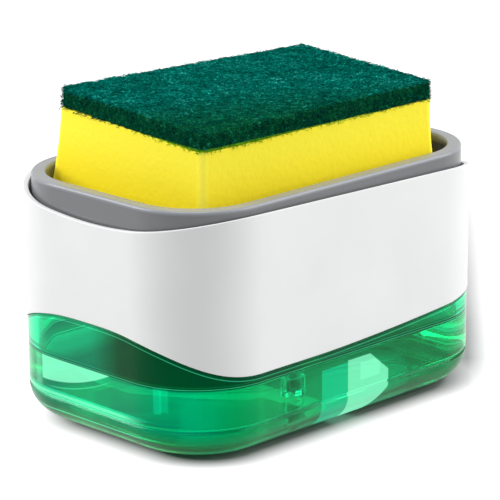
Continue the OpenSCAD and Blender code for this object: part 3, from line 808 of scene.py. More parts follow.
@dataclass(frozen=True)
class Basin(Clear):
    """A clear wall that holds a coloured liquid up to a level, with painted light and shade on it."""

    side: Colour = (0.01, 0.72, 0.6)
    dry: Colour = (0.01, 0.66, 0.42)
    # Painted light from here to the ends' glow: the lid's shade at two corners, the shade lines, the softbox
    # reflections, the highlight strips and lines, and the glow on the ends.
    deep: Colour = (0.0, 0.14, 0.02)
    line: Colour = (0.0, 0.1, 0.045)
    window: Colour = (0.21, 0.78, 0.48)
    band: Colour = (0.0, 0.25, 0.14)
    pale: Colour = (0.03, 0.38, 0.2)
    end_glow: Colour = (0.0, 0.08, 0.05)
    core: Pair = (59.7, 35.7)
    foot: tuple[float, float, float] = (11.8, 11.0, 13.5)
    groove: float = 12.0
    refraction: float = 0.8

    def values(self, graph: Graph) -> dict[str, object]:
        """Glass values, with its tint, painted shade and painted glow from the group of filled tones."""
        level = float(Box.of("soap_fill").high[2]) + self.refraction
        tones = Filled.place(graph, self.surface, self.side, self.dry, self.deep, self.line, self.window,
                             self.band, self.pale, self.end_glow, level, *self.core, *self.foot, self.groove)
        return {**super().values(graph), "Base Color": tones["Color"], "Emission Color": tones["Glow"],
                "Emission Strength": 1.0}


def moulded(smooth: float, rough: float) -> tuple[float, ...]:
    """Numbers of the moulded grain: scale of the tones and of the grain, lowest and highest roughness."""
    return 35.0, 1400.0, smooth, rough


BRIGHT = (("Metallic", 1.0),)
MATT = (("Roughness", 0.9), ("Specular IOR Level", 0.0), ("IOR", 1.0))
GREEN_GLINT = (("Specular Tint", (0.0, 0.45, 0.25, 1.0)),)
# Heights in metres where the tray's rim starts, where the foam is no longer warm, and of the pad.
RIM_START = float(Box.of("press_tray").high[2] - 1.1) * MM
WARM_FOAM = (Box.of("sponge_foam").height(0.0), Box.of("sponge_foam").height(0.75))
PAD_HEIGHTS = (Box.of("scouring_pad").height(0.0), Box.of("scouring_pad").height(1.0))

CLEAR_GREEN = Basin("clear_green_plastic", ((0.02, 0.6, 0.3), (0.03, 0.7, 0.4)), moulded(0.0, 0.0), bump=0.0,
                    surface=(0.012, 0.72, 0.62), depth_tone=(0.02, 0.96, 0.82), density=280.0,
                    extras=GREEN_GLINT)
SOAP = Clear("liquid_soap", ((0.02, 0.5, 0.2), (0.03, 0.6, 0.3)), moulded(0.0, 0.0), bump=0.0, ior=1.34,
             depth_tone=(0.08, 0.97, 0.84), density=24.0, extras=GREEN_GLINT)
WHITE_SHELL = Finish("white_shell_plastic", ((0.86, 0.865, 0.87), (0.9, 0.903, 0.905)), moulded(0.3, 0.3),
                     bump=0.0)
# Tray tones: body, the rim's painted top light and the painted shade in the basin.
TRAY_GREY = Finish("tray_grey_plastic", ((0.178, 0.182, 0.19), (0.285, 0.3, 0.325), (0.052, 0.056, 0.066)),
                   (RIM_START, 0.22, 0.26, 1400.0), bump=0.0, group=Stepped)
DECK_GREY = Finish("deck_grey_plastic", ((0.56, 0.57, 0.58), (0.62, 0.63, 0.64)), moulded(0.4, 0.52), 0.05)
PUMP_WHITE = Finish("pump_white_plastic", ((0.74, 0.74, 0.72), (0.8, 0.8, 0.78)), moulded(0.34, 0.46), 0.04)
HEAD_GREY = Finish("head_grey_plastic", ((0.18, 0.183, 0.19), (0.22, 0.223, 0.23)), moulded(0.32, 0.45), 0.05)
SEAL_RUBBER = Finish("seal_black_rubber", ((0.03, 0.03, 0.032), (0.05, 0.05, 0.052)), moulded(0.6, 0.75), 0.1)
FOOT_CLEAR = Clear("foot_clear_rubber", ((0.8, 0.86, 0.84), (0.86, 0.9, 0.88)), moulded(0.05, 0.12), 0.05,
                   ior=1.42, surface=(0.9, 1.0, 0.96))
TUBE_CLEAR = Clear("tube_clear_plastic", ((0.8, 0.84, 0.83), (0.86, 0.9, 0.88)), moulded(0.03, 0.08),
                   surface=(0.94, 1.0, 0.98))
SCREW_STEEL, BALL_STEEL, SPRING_STEEL = (
    Finish(name, tones, numbers, group=Brushed, extras=BRIGHT) for name, tones, numbers in (
        ("screw_head_steel", ((0.52, 0.53, 0.54), (0.66, 0.67, 0.68)), (2400.0, 8.0)),
        ("valve_ball_steel", ((0.62, 0.62, 0.63), (0.74, 0.74, 0.75)), (1500.0, 1.0)),
        ("spring_wire_steel", ((0.55, 0.55, 0.57), (0.7, 0.7, 0.72)), (1800.0, 4.0))))
# Foam tones: pit, wall and foot, then the paler edge and its glow, a painted highlight.
FOAM_YELLOW = Finish("yellow_open_foam", ((0.97, 0.8, 0.025), (1.0, 0.88, 0.065), (0.97, 0.73, 0.005),
                                          (1.0, 0.9, 0.09), (0.34, 0.29, 0.03)),
                     (2300.0, *WARM_FOAM), 0.14, Pores, MATT + (("Emission Strength", 1.0),))
PAD_CORE = Finish("pad_core_fibre", ((0.0, 0.025, 0.019), (0.0, 0.14, 0.108), (0.02, 0.48, 0.38),
                                     (0.006, 0.11, 0.03), (0.1, 0.34, 0.01)),
                  (1900.0, *PAD_HEIGHTS), 0.8, Matted, MATT)
PAD_FIBRE = Finish("pad_loose_fibre", ((0.0, 0.07, 0.054), (0.002, 0.2, 0.156), (0.04, 0.55, 0.45),
                                       (0.006, 0.15, 0.05), (0.2, 0.5, 0.01)),
                   (900.0, *PAD_HEIGHTS), 0.1, Matted, MATT)


@dataclass(frozen=True)
class Curves:
    """Heights of the shell's lower and upper edge, as functions of X and Y."""

    low: float
    half_l: float
    half_w: float
    high: float = 80.8
    rise: float = 12.6
    dip: float = 7.6
    fall: float = 1.4
    power: float = 3.0
    turn: float = 1.3
    overrun: float = 1.0
    sweep_rise: float = 5.8
    sweep_power: float = 1.7
    sweep_share: float = 0.14

    @classmethod
    def of_frame(cls) -> "Curves":
        """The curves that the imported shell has: its box gives its lowest point and its size."""
        shell = Box.of("outer_shell")
        return cls(shell.low[2], shell.size[0] / 2, shell.size[1] / 2)

    def arch(self, x: np.ndarray, y: np.ndarray) -> np.ndarray:
        """Lower edge: highest in the middle of a short end, falling with powers of Y.

        On the long sides it rises toward +X with a power of the way from its start to the end, and
        the higher of the two counts.
        """
        arch = self.rise * (1 - np.minimum(1, np.abs(y) / self.half_w) ** self.power) ** self.turn
        share = np.maximum(0, x / (2 * self.half_l) + self.sweep_share) / (0.5 + self.sweep_share)
        return self.low + np.maximum(arch, self.sweep_rise * share ** self.sweep_power)

    def sag(self, x: np.ndarray, y: np.ndarray) -> np.ndarray:
        """Upper edge: lowest in the middle of a short end, rising with the square of Y and falling with X."""
        dip = self.dip * (1 - (y / (self.half_w + self.overrun)) ** 2)
        return self.high - dip - x * math.tan(math.radians(self.fall))

    def lowest_sag(self) -> float:
        """The upper edge's lowest height, in the middle of the +X end."""
        return float(self.sag(np.float64(self.half_l), np.float64(0.0)))

    def by_edge(self) -> dict[int, Curve]:
        """Both curves under the numbers of their edges."""
        return {Edge.ARCH.value: self.arch, Edge.DIP.value: self.sag}


def dress_nodes(finishes: dict[str, Finish]) -> None:
    """Gives each carried-over node its finish.

    Args:
        finishes: The finish of each node, by name.
    """
    for node, finish in finishes.items():
        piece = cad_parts[node]
        piece.data.materials.clear()
        piece.data.materials.append(finish.material())
        LOG.info("%s: kept from the frame, %s", node, finish.name)


@dataclass
class TubAssembly:
    """The clear tub, the soap that stands in it and its four feet."""

    curves: Curves
    corner_r: float = 29.5
    foot_round: float = 11.0
    foot_reach: float = 13.5
    wall: float = 3.3
    floor: float = 2.6
    neck_wall: float = 1.6
    ledge_drop: float = 0.2
    groove_z: float = 12.0
    groove_half: float = 0.75
    groove_depth: float = 0.6
    groove_rows: int = 17
    groove_power: float = 1.2
    edge: float = 0.5
    wetting: float = 0.15
    meniscus: float = 0.9
    meniscus_reach: float = 0.9
    climb_steps: tuple[float, ...] = (0.0, 0.12, 0.3, 0.55, 0.9, 1.4, 2.2, 3.5, 6.0)

    def tub_section(self) -> np.ndarray:
        """Section of the tub from the middle of its foot, up the outside and down the inside.

        Rows a few tenths away from an edge hold its shading.
        """
        box = Box.of("tub")
        low, top, r = box.low[2], box.high[2], self.corner_r
        foot, reach = r - self.foot_reach, self.foot_reach
        inner_r, inner_foot = r - self.wall, low + self.floor
        neck_r, e = inner_r + self.neck_wall, self.edge
        z = self.groove_z + self.groove_half * np.linspace(-1, 1, self.groove_rows)
        cut = np.cos((z - self.groove_z) / self.groove_half * TAU / 4)
        cut = self.groove_depth * cut ** self.groove_power
        arch, d = Edge.ARCH, -self.ledge_drop
        return np.concatenate([
            rows(foot - 0.8, low, scale=LID),
            arc(foot, low + self.foot_round, self.foot_round, -90, -4, 28, wide=reach),
            rows(r - cut, z),
            rows(r, z[-1] + HOLD),
            rows(r, [d - e - 1.2, d - e - 0.3], arch),
            arc(r - e, d - e, e, 0, 90, 6, arch),
            rows([r - e - 0.15, neck_r + 0.25, neck_r + 0.08], [d, d, d + 0.04], arch),
            rows(neck_r, [d + 0.25, d + 0.8], arch),
            rows(neck_r, [top - 0.8, top - 0.4]),
            arc(neck_r - 0.3, top - 0.3, 0.3, 0, 90, 4),
            arc(inner_r + 0.3, top - 0.3, 0.3, 90, 180, 4),
            rows(inner_r, [top - 1.0, low + self.foot_round + 2.0, low + self.foot_round + 0.6]),
            arc(foot, low + self.foot_round, low + self.foot_round - inner_foot, 0, -90, 24,
                wide=reach - self.wall),
            rows(foot - 0.8, inner_foot, scale=LID[::-1]),
        ])

    def soap_section(self) -> np.ndarray:
        """Section of the soap: it reaches a little way into the wall that it wets, and climbs at its edge."""
        low, level = Box.of("tub").low[2], Box.of("soap_fill").high[2]
        foot, into = self.corner_r - self.foot_reach, self.wetting
        r = self.corner_r - self.wall + into
        away = np.array(self.climb_steps)
        climb = self.meniscus * np.exp(-away / self.meniscus_reach)
        return np.concatenate([
            rows(foot - 0.8, low + self.floor - into, scale=LID),
            arc(foot, low + self.foot_round, self.foot_round - self.floor + into, -90, 0, 24,
                wide=self.foot_reach - self.wall + into),
            rows(r, [low + self.foot_round + 1.0, level - 0.5]),
            rows(r - away, level + climb),
            rows(r - away[-1], level, scale=[0.8, 0.5, 0.2]),
        ])

    def build(self) -> None:
        """Builds the tub and the soap, and dresses the feet."""
        contour = Contour.of("tub", self.corner_r)
        tub = loft(row_points(contour, self.tub_section(), self.curves.by_edge()), False)
        x, y, z = tub.points.T
        # The height under the shell's edge places the tub's painted shade and highlight lines.
        tub.piece("tub_body", CLEAR_GREEN, "base", "clear_green", ("tub",),
                  marks={"rim_gap": self.curves.arch(x, y) - z})
        soap = row_points(contour, self.soap_section())
        loft(soap, False).piece("soap_body", SOAP, "base", "soap", ("soap_fill",))
        dress_nodes({"rubber_feet": FOOT_CLEAR})


@dataclass
class HousingAssembly:
    """The white shell, and the deck with the parts of the pump that it carries."""

    curves: Curves
    corner_r: float = 29.85
    wall: float = 1.8
    edge: float = 0.25
    inner_edge: float = 0.25
    tab_r: float = 9.5
    tab_edge: float = 0.25
    tab_hole: float = 1.75
    hole_edge: float = 0.2
    tab_t: float = 2.2
    tab_sides: int = 96
    screw_reach: float = 20.0
    screw_head: float = 1.9

    def shell_section(self) -> np.ndarray:
        """Section of the wall: up the outside, over the top edge and down the inside."""
        r, e, f = self.corner_r, self.edge, self.inner_edge
        inner = r - self.wall
        low, high = self.curves.low + self.curves.rise, self.curves.lowest_sag()
        middle = [low + (high - low) * share for share in (0.1, 0.5, 0.88)]
        arch, dip = Edge.ARCH, Edge.DIP
        return np.concatenate([
            arc(r - e, e, e, -90, 0, 6, arch), rows(r, e + HOLD, arch), rows(r, middle),
            rows(r, -e - HOLD[::-1], dip), arc(r - e, -e, e, 0, 90, 6, dip),
            arc(inner + f, -f, f, 90, 180, 4, dip), rows(inner, -f - HOLD, dip),
            rows(inner, middle[::-1]), rows(inner, f + HOLD[::-1], arch),
            arc(inner + f, f, f, 180, 270, 4, arch),
        ])

    def tab(self, contour: Contour) -> Skin:
        """A corner tab: a ring about its screw, out to tab_r or to the middle of the shell's wall.

        The way out from the screw at an angle meets the wall's arc where the distance to the corner's
        centre is the arc's radius.
        """
        low = Box.of("deck_screws").high[2] - self.screw_head - self.tab_t
        top = low + self.tab_t
        turn = np.arange(self.tab_sides) / self.tab_sides * TAU
        way = np.stack([np.cos(turn), np.sin(turn)], 1)
        place = np.array([contour.core_l, contour.core_w]) / 2 + self.screw_reach / math.sqrt(2)
        wall_r = self.corner_r - self.wall / 2
        along = way.sum(1) * self.screw_reach / math.sqrt(2)
        reach = -along + np.sqrt(along ** 2 - self.screw_reach ** 2 + wall_r ** 2)
        outer, hole = np.minimum(self.tab_r, reach), np.full(self.tab_sides, self.tab_hole)
        e, f = self.tab_edge, self.hole_edge
        ring = [(hole, low + f), (hole + f, low), (outer - e, low), (outer, low + e), (outer, top - e),
                (outer - e, top), (hole + f, top), (hole, top - f)]
        grid = [np.column_stack([radius[:, None] * way + place, np.full(self.tab_sides, height)])
                for radius, height in ring]
        return loft(np.stack(grid), True)

    def build(self) -> None:
        """Builds the shell with its tabs, and dresses what the deck carries."""
        contour = Contour.of("outer_shell", self.corner_r)
        shell = loft(row_points(contour, self.shell_section(), self.curves.by_edge()), True)
        tab = self.tab(contour)
        for x, y in ((1, 1), (-1, 1), (-1, -1), (1, -1)):
            shell = shell + tab.mirrored(x, y)
        shell.piece("shell_body", WHITE_SHELL, "housing", "white_shell", ("outer_shell",))
        dress_nodes({"pump_deck": DECK_GREY, "deck_seal": SEAL_RUBBER, "deck_screws": SCREW_STEEL,
                     "barrel_washer": SEAL_RUBBER, "pump_barrel": PUMP_WHITE, "barrel_collar": PUMP_WHITE,
                     "valve_cage": PUMP_WHITE, "inlet_ball": BALL_STEEL, "dip_tube": TUBE_CLEAR,
                     "strainer": TUBE_CLEAR})


@dataclass
class PumpAssembly:
    """The moving parts of the pump, with the return spring as a fine wire."""

    wire_r: float = 0.45
    coil_r: float = 6.15
    curls: float = 8.0
    dead: float = 0.9
    stroke: float = 8.0
    sides: int = 12
    rings: int = 44

    def spring(self) -> tuple[Skin, float, float]:
        """The wire's helix: it lies nearly level for the dead turn at each end and climbs evenly between.

        Returns:
            The skin, the height of its foot and its length.
        """
        box = Box.of("return_spring")
        low, high = box.low[2] + self.wire_r, box.high[2] - self.wire_r
        turn = np.linspace(0, self.curls, int(self.curls * self.rings) + 1)
        level = 2 * self.wire_r * 1.05
        knots = [0, self.dead, self.curls - self.dead, self.curls]
        height = np.interp(turn, knots, [low, low + level * self.dead, high - level * self.dead, high])
        path = np.stack([self.coil_r * np.cos(turn * TAU), self.coil_r * np.sin(turn * TAU), height], 1)
        return tube_along(path, self.wire_r, self.sides), box.low[2], box.size[2]

    def build(self) -> None:
        """Builds the spring and dresses the rest."""
        skin, foot, length = self.spring()
        piece = skin.piece("spring_wire", SPRING_STEEL, "housing", "spring_steel", ("return_spring",))
        foot * MM
        (length - self.stroke) / length
        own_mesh(piece)
        dress_nodes({"piston": PUMP_WHITE, "piston_seal": SEAL_RUBBER, "pump_stem": PUMP_WHITE,
                     "pump_head": HEAD_GREY, "outlet_ball": BALL_STEEL})


@dataclass
class TrayAssembly:
    """The grey tray: skirt, rim, bevel, basin, ribs and the hole for the pump head."""

    corner_r: float = 27.05
    rim_w: float = 4.8
    rim_t: float = 2.0
    rim_round: float = 0.9
    inner_round: float = 0.6
    skirt_t: float = 1.8
    bevel_w: float = 0.8
    bevel_h: float = 2.5
    basin_wall: float = 1.8
    basin_depth: float = 9.0
    basin_t: float = 2.2
    fillet: float = 1.4
    hole_r: float = 8.6
    rib_t: float = 2.0
    rib_l: float = 62.0
    rib_h: float = 2.3
    rib_round: float = 0.6
    rib_step: float = 12.0
    rib_count: int = 4

    def section(self) -> np.ndarray:
        """Section: out under the basin, round the skirt and rim, and back over the basin's floor.

        Rows a few tenths away from an edge hold its shading.
        """
        box = Box.of("press_tray")
        foot, top, r = box.low[2], box.high[2], self.corner_r
        rim_r = r - self.rim_w
        basin_r = rim_r - self.bevel_w
        floor = top - self.basin_depth
        under = floor - self.basin_t
        wall_r, skirt_r = basin_r + self.basin_wall, r - self.skirt_t
        boss_r, boss_top = self.hole_r + self.basin_wall, floor + self.rib_h - 0.2
        ceiling = top - self.rim_t
        f, g = self.fillet, self.inner_round
        return np.concatenate([
            rows([self.hole_r, self.hole_r + 0.3], [under + 0.3, under], round_=True),
            rows([basin_r - 2, wall_r - 0.6], under),
            arc(wall_r - 0.5, under + 0.5, 0.5, -90, 0, 4),
            rows([wall_r, rim_r + self.basin_wall, skirt_r - 0.6], [ceiling - 2.3, ceiling - 0.5, ceiling]),
            rows(skirt_r, [ceiling - 0.6, foot + 0.8]),
            rows([skirt_r, skirt_r + 0.3, r - 0.3, r], [foot + 0.3, foot, foot, foot + 0.3]),
            rows(r, [foot + 0.9, foot + 5, top - self.rim_round - 2.0, top - self.rim_round - 0.4]),
            arc(r - self.rim_round, top - self.rim_round, self.rim_round, 0, 90, 8),
            rows([r - self.rim_round - 0.3, rim_r + g + 0.3], top),
            arc(rim_r + g, top - g, g, 90, 165, 6),
            rows([basin_r + 0.05, basin_r], [top - self.bevel_h, top - self.bevel_h - 0.5]),
            rows(basin_r, [floor + f + 0.5]),
            arc(basin_r - f, floor + f, f, 0, -90, 8),
            rows(basin_r - f - 1.0, floor),
            rows(boss_r + np.array([1.2, 0.4, 0.1, 0.0]), floor + np.array([0.0, 0.0, 0.12, 0.5]),
                 round_=True),
            rows(boss_r, boss_top - 0.8, round_=True),
            arc(boss_r - 0.5, boss_top - 0.5, 0.5, 0, 90, 5, round_=True),
            rows(self.hole_r + np.array([0.6, 0.3, 0.0]), boss_top - np.array([0.0, 0.0, 0.3]), round_=True),
        ])

    def build(self) -> None:
        """Builds the tray with its ribs as one piece."""
        box = Box.of("press_tray")
        contour = Contour.of("press_tray", self.corner_r)
        skin = loft(row_points(contour, self.section()), True)
        floor = box.high[2] - self.basin_depth
        for k in range(self.rib_count):
            x = self.hole_r + self.rib_step * (k + 0.5)
            low = np.array([x - self.rib_t / 2, -self.rib_l / 2, floor - self.basin_t / 2])
            high = np.array([x + self.rib_t / 2, self.rib_l / 2, floor + self.rib_h])
            rib = rounded_block(low, high, self.rib_round)
            skin = skin + rib + rib.mirrored(-1, 1)
        x, y, z = skin.points.T
        # Points inside the basin under its rim take painted shade.
        core = np.maximum(np.abs(np.stack([x, y])) - np.array([[contour.core_l], [contour.core_w]]) / 2, 0)
        inside = (np.linalg.norm(core, axis=0) < self.corner_r - self.rim_w - 0.1) & (z < box.high[2] - 1.5)
        skin.piece("tray_body", TRAY_GREY, "tray", "tray_grey", ("press_tray",),
                   marks={"sunken": inside.astype(float)})


@dataclass
class SpongeAssembly:
    """The sponge: a yellow foam block with a matted green scouring pad.

    fibre_long and fibre_climb are for flat and then for hanging fibres. flat_place holds the inset from
    the sides, and the mean and spread of the height over the top. hanging_place holds the mean and spread
    of the way out, and how far the heights go under the pad's foot and stop under its top. fibre_limit is
    the most beyond the block's sides, under its foot and over its top.
    """

    length: float = 100.0
    width: float = 70.0
    turn: float = -5.8
    corner_r: float = 2.4
    spread: float = 0.4
    waist: float = 0.4
    foot_round: float = 1.2
    top_round: float = 0.8
    mesh_step: float = 0.36
    pad_step: float = 0.45
    foam_lid: tuple = (1, 0.04, 40)
    pad_lid: tuple = (0.98, 0.03, 60)
    corner_glow: float = 1.15
    share_limits: Pair = (-0.05, 1.05)
    foam_rough: tuple = ((24.0, 0.15), (5.0, 0.02), (1.6, 0.025), (0.75, 0.04))
    pad_rough: tuple = ((9.0, 0.15), (2.2, 0.25), (0.9, 0.25))
    fibres: int = 7000
    fibre_r: float = 0.085
    fibre_sides: int = 3
    fibre_points: int = 5
    fibre_long: tuple = ((1.4, 3.6), (0.9, 2.2))
    fibre_climb: tuple = (0.16, 0.5)
    fibre_bend: float = 0.35
    fibre_wander: float = 0.1
    flat_place: tuple = ((0.5, 0.5), (-0.12, 0.2))
    hanging_place: tuple = ((-0.1, 0.25), (0.4, 0.1))
    fibre_limit: tuple = (0.6, 0.9, 0.35)
    seed: int = 7
    lean_top: tuple = ((-1.0, 0.9, 1.1), (-1.5, -4.7, -1.5), (1.0, 0.6, 0.0), (3.3, 0.3, 0.7))
    lean_foot: tuple = ((-7.4, 0.0, 0.0), (-1.5, -4.3, 0.0), (2.6, 0.0, 0.0), (2.4, 0.0, 0.0))

    def contour(self, step: float) -> Contour:
        """The sponge's core rectangle, with a point about every step."""
        l, w = self.length - 2 * self.corner_r, self.width - 2 * self.corner_r
        return Contour(l, w, int(self.corner_r * TAU / 4 / step) + 2, int(l / step), int(w / step))

    def leaned(self, skin: Skin) -> Skin:
        """Pulls the turned block out of square: each corner moves by its own offset at foot and top.

        A point's offset blends the four corners by its shares of the length and width, and foot and
        top by its share of the height.
        """
        low, high = Box.of("sponge_foam").low[2], Box.of("scouring_pad").high[2]
        s, t = (np.clip(skin.points[:, k] / side + 0.5, *self.share_limits)
                for k, side in enumerate((self.length, self.width)))
        h = ((skin.points[:, 2] - low) / (high - low))[:, None]
        weight = np.stack([(1 - s) * t, (1 - s) * (1 - t), s * (1 - t), s * t], 1)
        shift = weight @ np.array(self.lean_foot) * (1 - h) + weight @ np.array(self.lean_top) * h
        turned = skin.turned(self.turn)
        return Skin(turned.points + shift, skin.quads, skin.triangles)

    def upright(self, skin: Skin) -> np.ndarray:
        """1 at the block's upright edges and 0 a little way round them, by the distance along both faces."""
        away = np.array([self.length, self.width]) / 2 - np.abs(skin.points[:, :2])
        return np.clip(self.corner_glow - np.linalg.norm(away.clip(0), axis=1) / self.corner_r, 0, 1)

    def roughened(self, grid: np.ndarray, layers: tuple, seed: int, highest: float, sunk: float) -> Skin:
        """Closed skin over a grid that noise at several sizes moves along its normals.

        Args:
            grid: Rows by places by 3.
            layers: Cell and height of each size of noise.
            seed: Number of the first size's pattern.
            highest: The most that a point moves outwards.
            sunk: The distance that is taken off everywhere.

        Returns:
            The skin.
        """
        rough = sum(size * noise(grid, cell, seed + k) for k, (cell, size) in enumerate(layers))
        return loft(grid + normals_of(grid) * (np.minimum(rough, highest) - sunk)[..., None], False)

    def foam(self) -> Skin:
        """The foam: sides that spread at the foot and draw in at mid height, with a rough surface."""
        box = Box.of("sponge_foam")
        low, top, r, e = box.low[2], box.high[2], self.corner_r, self.foot_round
        share = np.linspace(0, 1, int((top - low - e) / self.mesh_step))
        sides = self.spread * (1 - share) - self.waist * np.sin(share * math.pi)
        lid = np.linspace(*self.foam_lid)
        section = np.concatenate([
            rows(r + self.spread - e, low, scale=lid[::-1]),
            arc(r + self.spread - e, low + e, e, -90, 0, 6)[1:],
            rows(r + sides, low + e + (top - low - e) * share)[1:],
            rows(r - 0.3, top, scale=[1.0, 0.9, 0.5]),
        ])
        grid = row_points(self.contour(self.mesh_step), section)
        return self.roughened(grid, self.foam_rough, self.seed, highest=0.12, sunk=0.0)

    def pad(self) -> Skin:
        """The pad's core: a flat block with uneven edges and a coarse top."""
        box = Box.of("scouring_pad")
        low, top, r, e = box.low[2], box.high[2], self.corner_r, self.top_round
        lid = np.linspace(*self.pad_lid)
        side = np.linspace(low + 0.4, top - e - 0.3, 14)
        section = np.concatenate([
            rows(r - 0.5, low, scale=[0.5, 0.9, 1.0]), rows(r, side), arc(r - e, top - e, e, 0, 90, 4),
            rows(r - e, top, scale=lid),
        ])
        grid = row_points(self.contour(self.pad_step), section)
        return self.roughened(grid, self.pad_rough, self.seed + 20, highest=math.inf, sunk=0.1)

    def mat(self, lies: Lies, seed: int) -> Skin:
        """Loose fibres of the pad: thin tubes along arcs that rise and fall a little.

        A fibre's heading turns evenly along its length, and its points are the running sum of its steps.
        Flat fibres lie in the pad's top, and hanging ones stand out of its sides.
        """
        rng = np.random.default_rng(seed)
        box = Box.of("scouring_pad")
        n, k = self.fibres, self.fibre_points
        half = np.array([self.length, self.width]) / 2
        hanging = int(lies is Lies.HANGING)
        long = rng.uniform(*self.fibre_long[hanging], n)
        heading = rng.uniform(0, TAU, n)[:, None] + rng.normal(0, self.fibre_bend, (n, 1)) * np.arange(k - 1)
        rise = rng.normal(0, self.fibre_climb[hanging], (n, 1)) + rng.normal(0, self.fibre_wander, (n, k - 1))
        step = np.stack([np.cos(heading), np.sin(heading), rise], 2) * (long / (k - 1))[:, None, None]
        path = np.concatenate([np.zeros((n, 1, 3)), np.cumsum(step, 1)], 1)
        path -= path.mean(1, keepdims=True)
        if hanging:
            core, normal = self.contour(self.pad_step).points()
            pick = rng.integers(0, len(core), n)
            out, (below, short) = self.hanging_place
            flat = core[pick] + normal[pick] * (self.corner_r + rng.normal(*out, n))[:, None]
            height = rng.uniform(box.low[2] - below, box.high[2] - short, n)
        else:
            inset, over = self.flat_place
            flat = np.stack([rng.uniform(-1, 1, n) * side for side in half - inset], 1)
            height = box.high[2] + rng.normal(*over, n)
        points = np.column_stack([flat, height])[:, None] + path
        beyond, below, above = self.fibre_limit
        points[..., :2] = np.clip(points[..., :2], -half - beyond, half + beyond)
        points[..., 2] = np.clip(points[..., 2], box.low[2] - below, box.high[2] + above)
        return tube_along(points, self.fibre_r, self.fibre_sides)

    def build(self) -> None:
        """Builds the foam, the pad and its loose fibres, all turned and leaned alike."""
        block = self.foam()
        foam = self.leaned(block).piece("foam_block", FOAM_YELLOW, "sponge", "foam_yellow", ("sponge_foam",),
                                        marks={"corner": self.upright(block)})
        pad = self.leaned(self.pad()).piece("pad_core", PAD_CORE, "sponge", "pad_green", ("scouring_pad",))
        for number, lies in enumerate((Lies.FLAT, Lies.FLAT, Lies.HANGING)):
            mat = self.leaned(self.mat(lies, self.seed + 40 + number))
            mat.piece(f"pad_fibres_{lies.value}_{number + 1}", PAD_FIBRE, "sponge", "pad_green")


@dataclass(frozen=True)
class Lamp:
    """A square soft lamp that looks at the object."""

    name: str
    azimuth: float
    elevation: float
    power: float
    distance: float = 1.1
    size: float = 0.7

    def build(self, target: Vector) -> None:
        """Hangs the lamp on a circle round the target."""
        way = outward(self.azimuth, self.elevation)
        data = bpy.data.lights.new(self.name, "AREA")
        data.energy, data.size = self.power, self.size
        lamp = link(self.name, data)
        lamp.location = target + way * self.distance
        lamp.rotation_euler = way.to_track_quat("Z", "Y").to_euler()


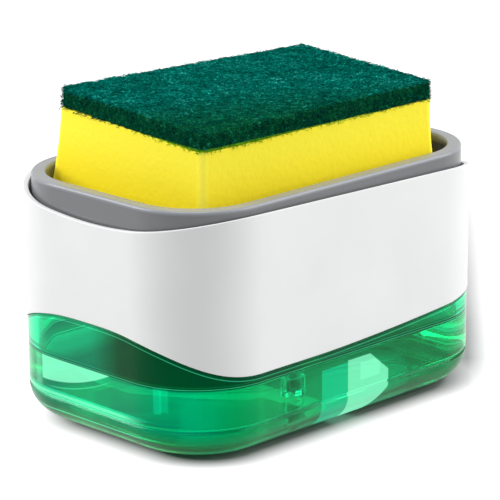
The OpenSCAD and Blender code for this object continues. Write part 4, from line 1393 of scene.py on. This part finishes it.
@dataclass
class Studio:
    """Floor, lamps, world and the camera at the photograph's angle."""

    azimuth: float = 44.62
    elevation: float = 16.2
    roll: float = -0.46
    distance: float = 0.978
    focal_px: float = 2893.5
    photo_px: float = 500.0
    sensor: float = 36.0
    clip: Pair = (0.01, 50.0)
    target: tuple[float, float, float] = (-0.00015, 0.0, 0.05081)
    floor_half: float = 6.0
    floor_tone: Colour = (0.3, 0.3, 0.3)
    floor_lift: float = 0.95
    floor_bounce: float = 0.18
    # The painted shadow on the floor: a rounded rectangle round the object and a strip cast behind it.
    shade_core: Pair = (0.0437, 0.0197)
    shade_shift: Pair = (0.0, 0.0045)
    shade_reach: Pair = (0.018, 0.029)
    cast_side: tuple[float, float, float] = (0.064, 0.0785, 0.0045)
    cast_spread: float = 0.0767
    cast_start: Pair = (0.015, 0.02)
    cast_fade: Pair = (0.08, 0.36)
    cast_tone: float = 0.85
    fill: float = 0.36
    mirror_share: float = 0.7
    lamps: tuple[Lamp, ...] = (
        Lamp("left_lamp", 132.0, 30.0, 8.9), Lamp("right_lamp", -44.0, 30.0, 10.8, size=1.1),
        Lamp("top_lamp", 60.0, 80.0, 4.6),
    )

    def camera(self) -> None:
        """Places the camera: its Z axis points away from the target, its X axis is level but for the roll."""
        a, r = math.radians(self.azimuth), math.radians(self.roll)
        back, level = outward(self.azimuth, self.elevation), Vector((math.cos(a), -math.sin(a), 0))
        upright = back.cross(level)
        right = level * math.cos(r) + upright * math.sin(r)
        up = upright * math.cos(r) - level * math.sin(r)
        data = bpy.data.cameras.new("camera")
        data.sensor_width = self.sensor
        data.lens = self.focal_px * self.sensor / self.photo_px
        data.clip_start, data.clip_end = self.clip
        camera = link("camera", data)
        turned = Matrix((right, up, back)).transposed().to_4x4()
        camera.matrix_world = Matrix.Translation(Vector(self.target) + back * self.distance) @ turned
        bpy.context.scene.camera = camera

    def seen(self, graph: Graph) -> Value:
        """1 for a ray that shows the background: a camera or see-through ray, and nearly so a mirror ray."""
        camera, mirror, through = (graph.out("LightPath", f"Is {ray} Ray")
                                   for ray in ("Camera", "Glossy", "Transmission"))
        return camera.most(mirror * self.mirror_share).most(through)

    def world(self) -> None:
        """A plain white world that shows as white and lights the object with the fill level."""
        world = bpy.data.worlds.new("studio")
        bpy.context.scene.world = world
        world.use_nodes = True
        graph = Graph(world.node_tree)
        shader = world.node_tree.nodes["Background"]
        graph.feed(shader.inputs["Color"], WHITE)
        graph.feed(shader.inputs["Strength"], self.seen(graph).span(0.0, 1.0, self.fill, 1.0))

    def unshaded(self, graph: Graph) -> Value:
        """0 in the object's painted shadow and 1 beyond it.

        The painted shadow is the rounded rectangle near the object, by the distance to a core rectangle,
        and a strip behind it, away from the camera's side, that spreads and fades with the depth.
        """
        x, y, _ = graph.axes()
        beyond = [(abs(way + shift) - core).most(0.0) ** 2.0
                  for way, core, shift in zip((x, y), self.shade_core, self.shade_shift)]
        near = (beyond[0] + beyond[1]).root().span(*self.shade_reach)
        c, s = math.cos(math.radians(self.azimuth)), math.sin(math.radians(self.azimuth))
        aside, depth = x * c - y * s, x * s + y * c
        strip = (aside - depth * self.cast_spread).within(*self.cast_side)
        strip = strip * depth.rises(*self.cast_start) * depth.span(*self.cast_fade, 1.0, 0.0)
        return near * strip.span(0.0, 1.0, 1.0, 1 - self.cast_tone)

    def floor(self) -> None:
        """A pale level floor that keeps the real shadow and shows white outside its painted shadow."""
        half = self.floor_half
        mesh = bpy.data.meshes.new("floor")
        corners = [(-half, -half, 0), (half, -half, 0), (half, half, 0), (-half, half, 0)]
        mesh.from_pydata(corners, [], [range(4)])
        made = bpy.data.materials.new("pale_floor")
        made.use_nodes = True
        graph = Graph(made.node_tree)
        lift = self.unshaded(graph) * self.floor_lift
        values = {"Base Color": self.floor_tone, "Roughness": 1.0, "Specular IOR Level": 0.0,
                  "Emission Color": WHITE,
                  "Emission Strength": self.seen(graph).span(0.0, 1.0, self.floor_bounce, lift)}
        for name, value in values.items():
            graph.feed(made.node_tree.nodes["Principled BSDF"].inputs[name], value)
        mesh.materials.append(made)
        floor = link("floor", mesh)

    def build(self) -> None:
        """Sets the stage and the view settings."""
        bpy.context.scene.view_settings.view_transform = "Standard"
        self.camera()
        self.world()
        self.floor()
        for lamp in self.lamps:
            lamp.build(Vector(self.target))


def main() -> None:
    """Builds the stage and each sub-assembly in order."""
    logging.basicConfig(level=logging.INFO, format="%(message)s")
    curves = Curves.of_frame()
    parts = (Studio(), TubAssembly(curves), HousingAssembly(curves), PumpAssembly(), TrayAssembly(),
             SpongeAssembly())
    for part in parts:
        LOG.info("building %s", type(part).__name__)
        part.build()


if __name__ == "__main__":
    main()
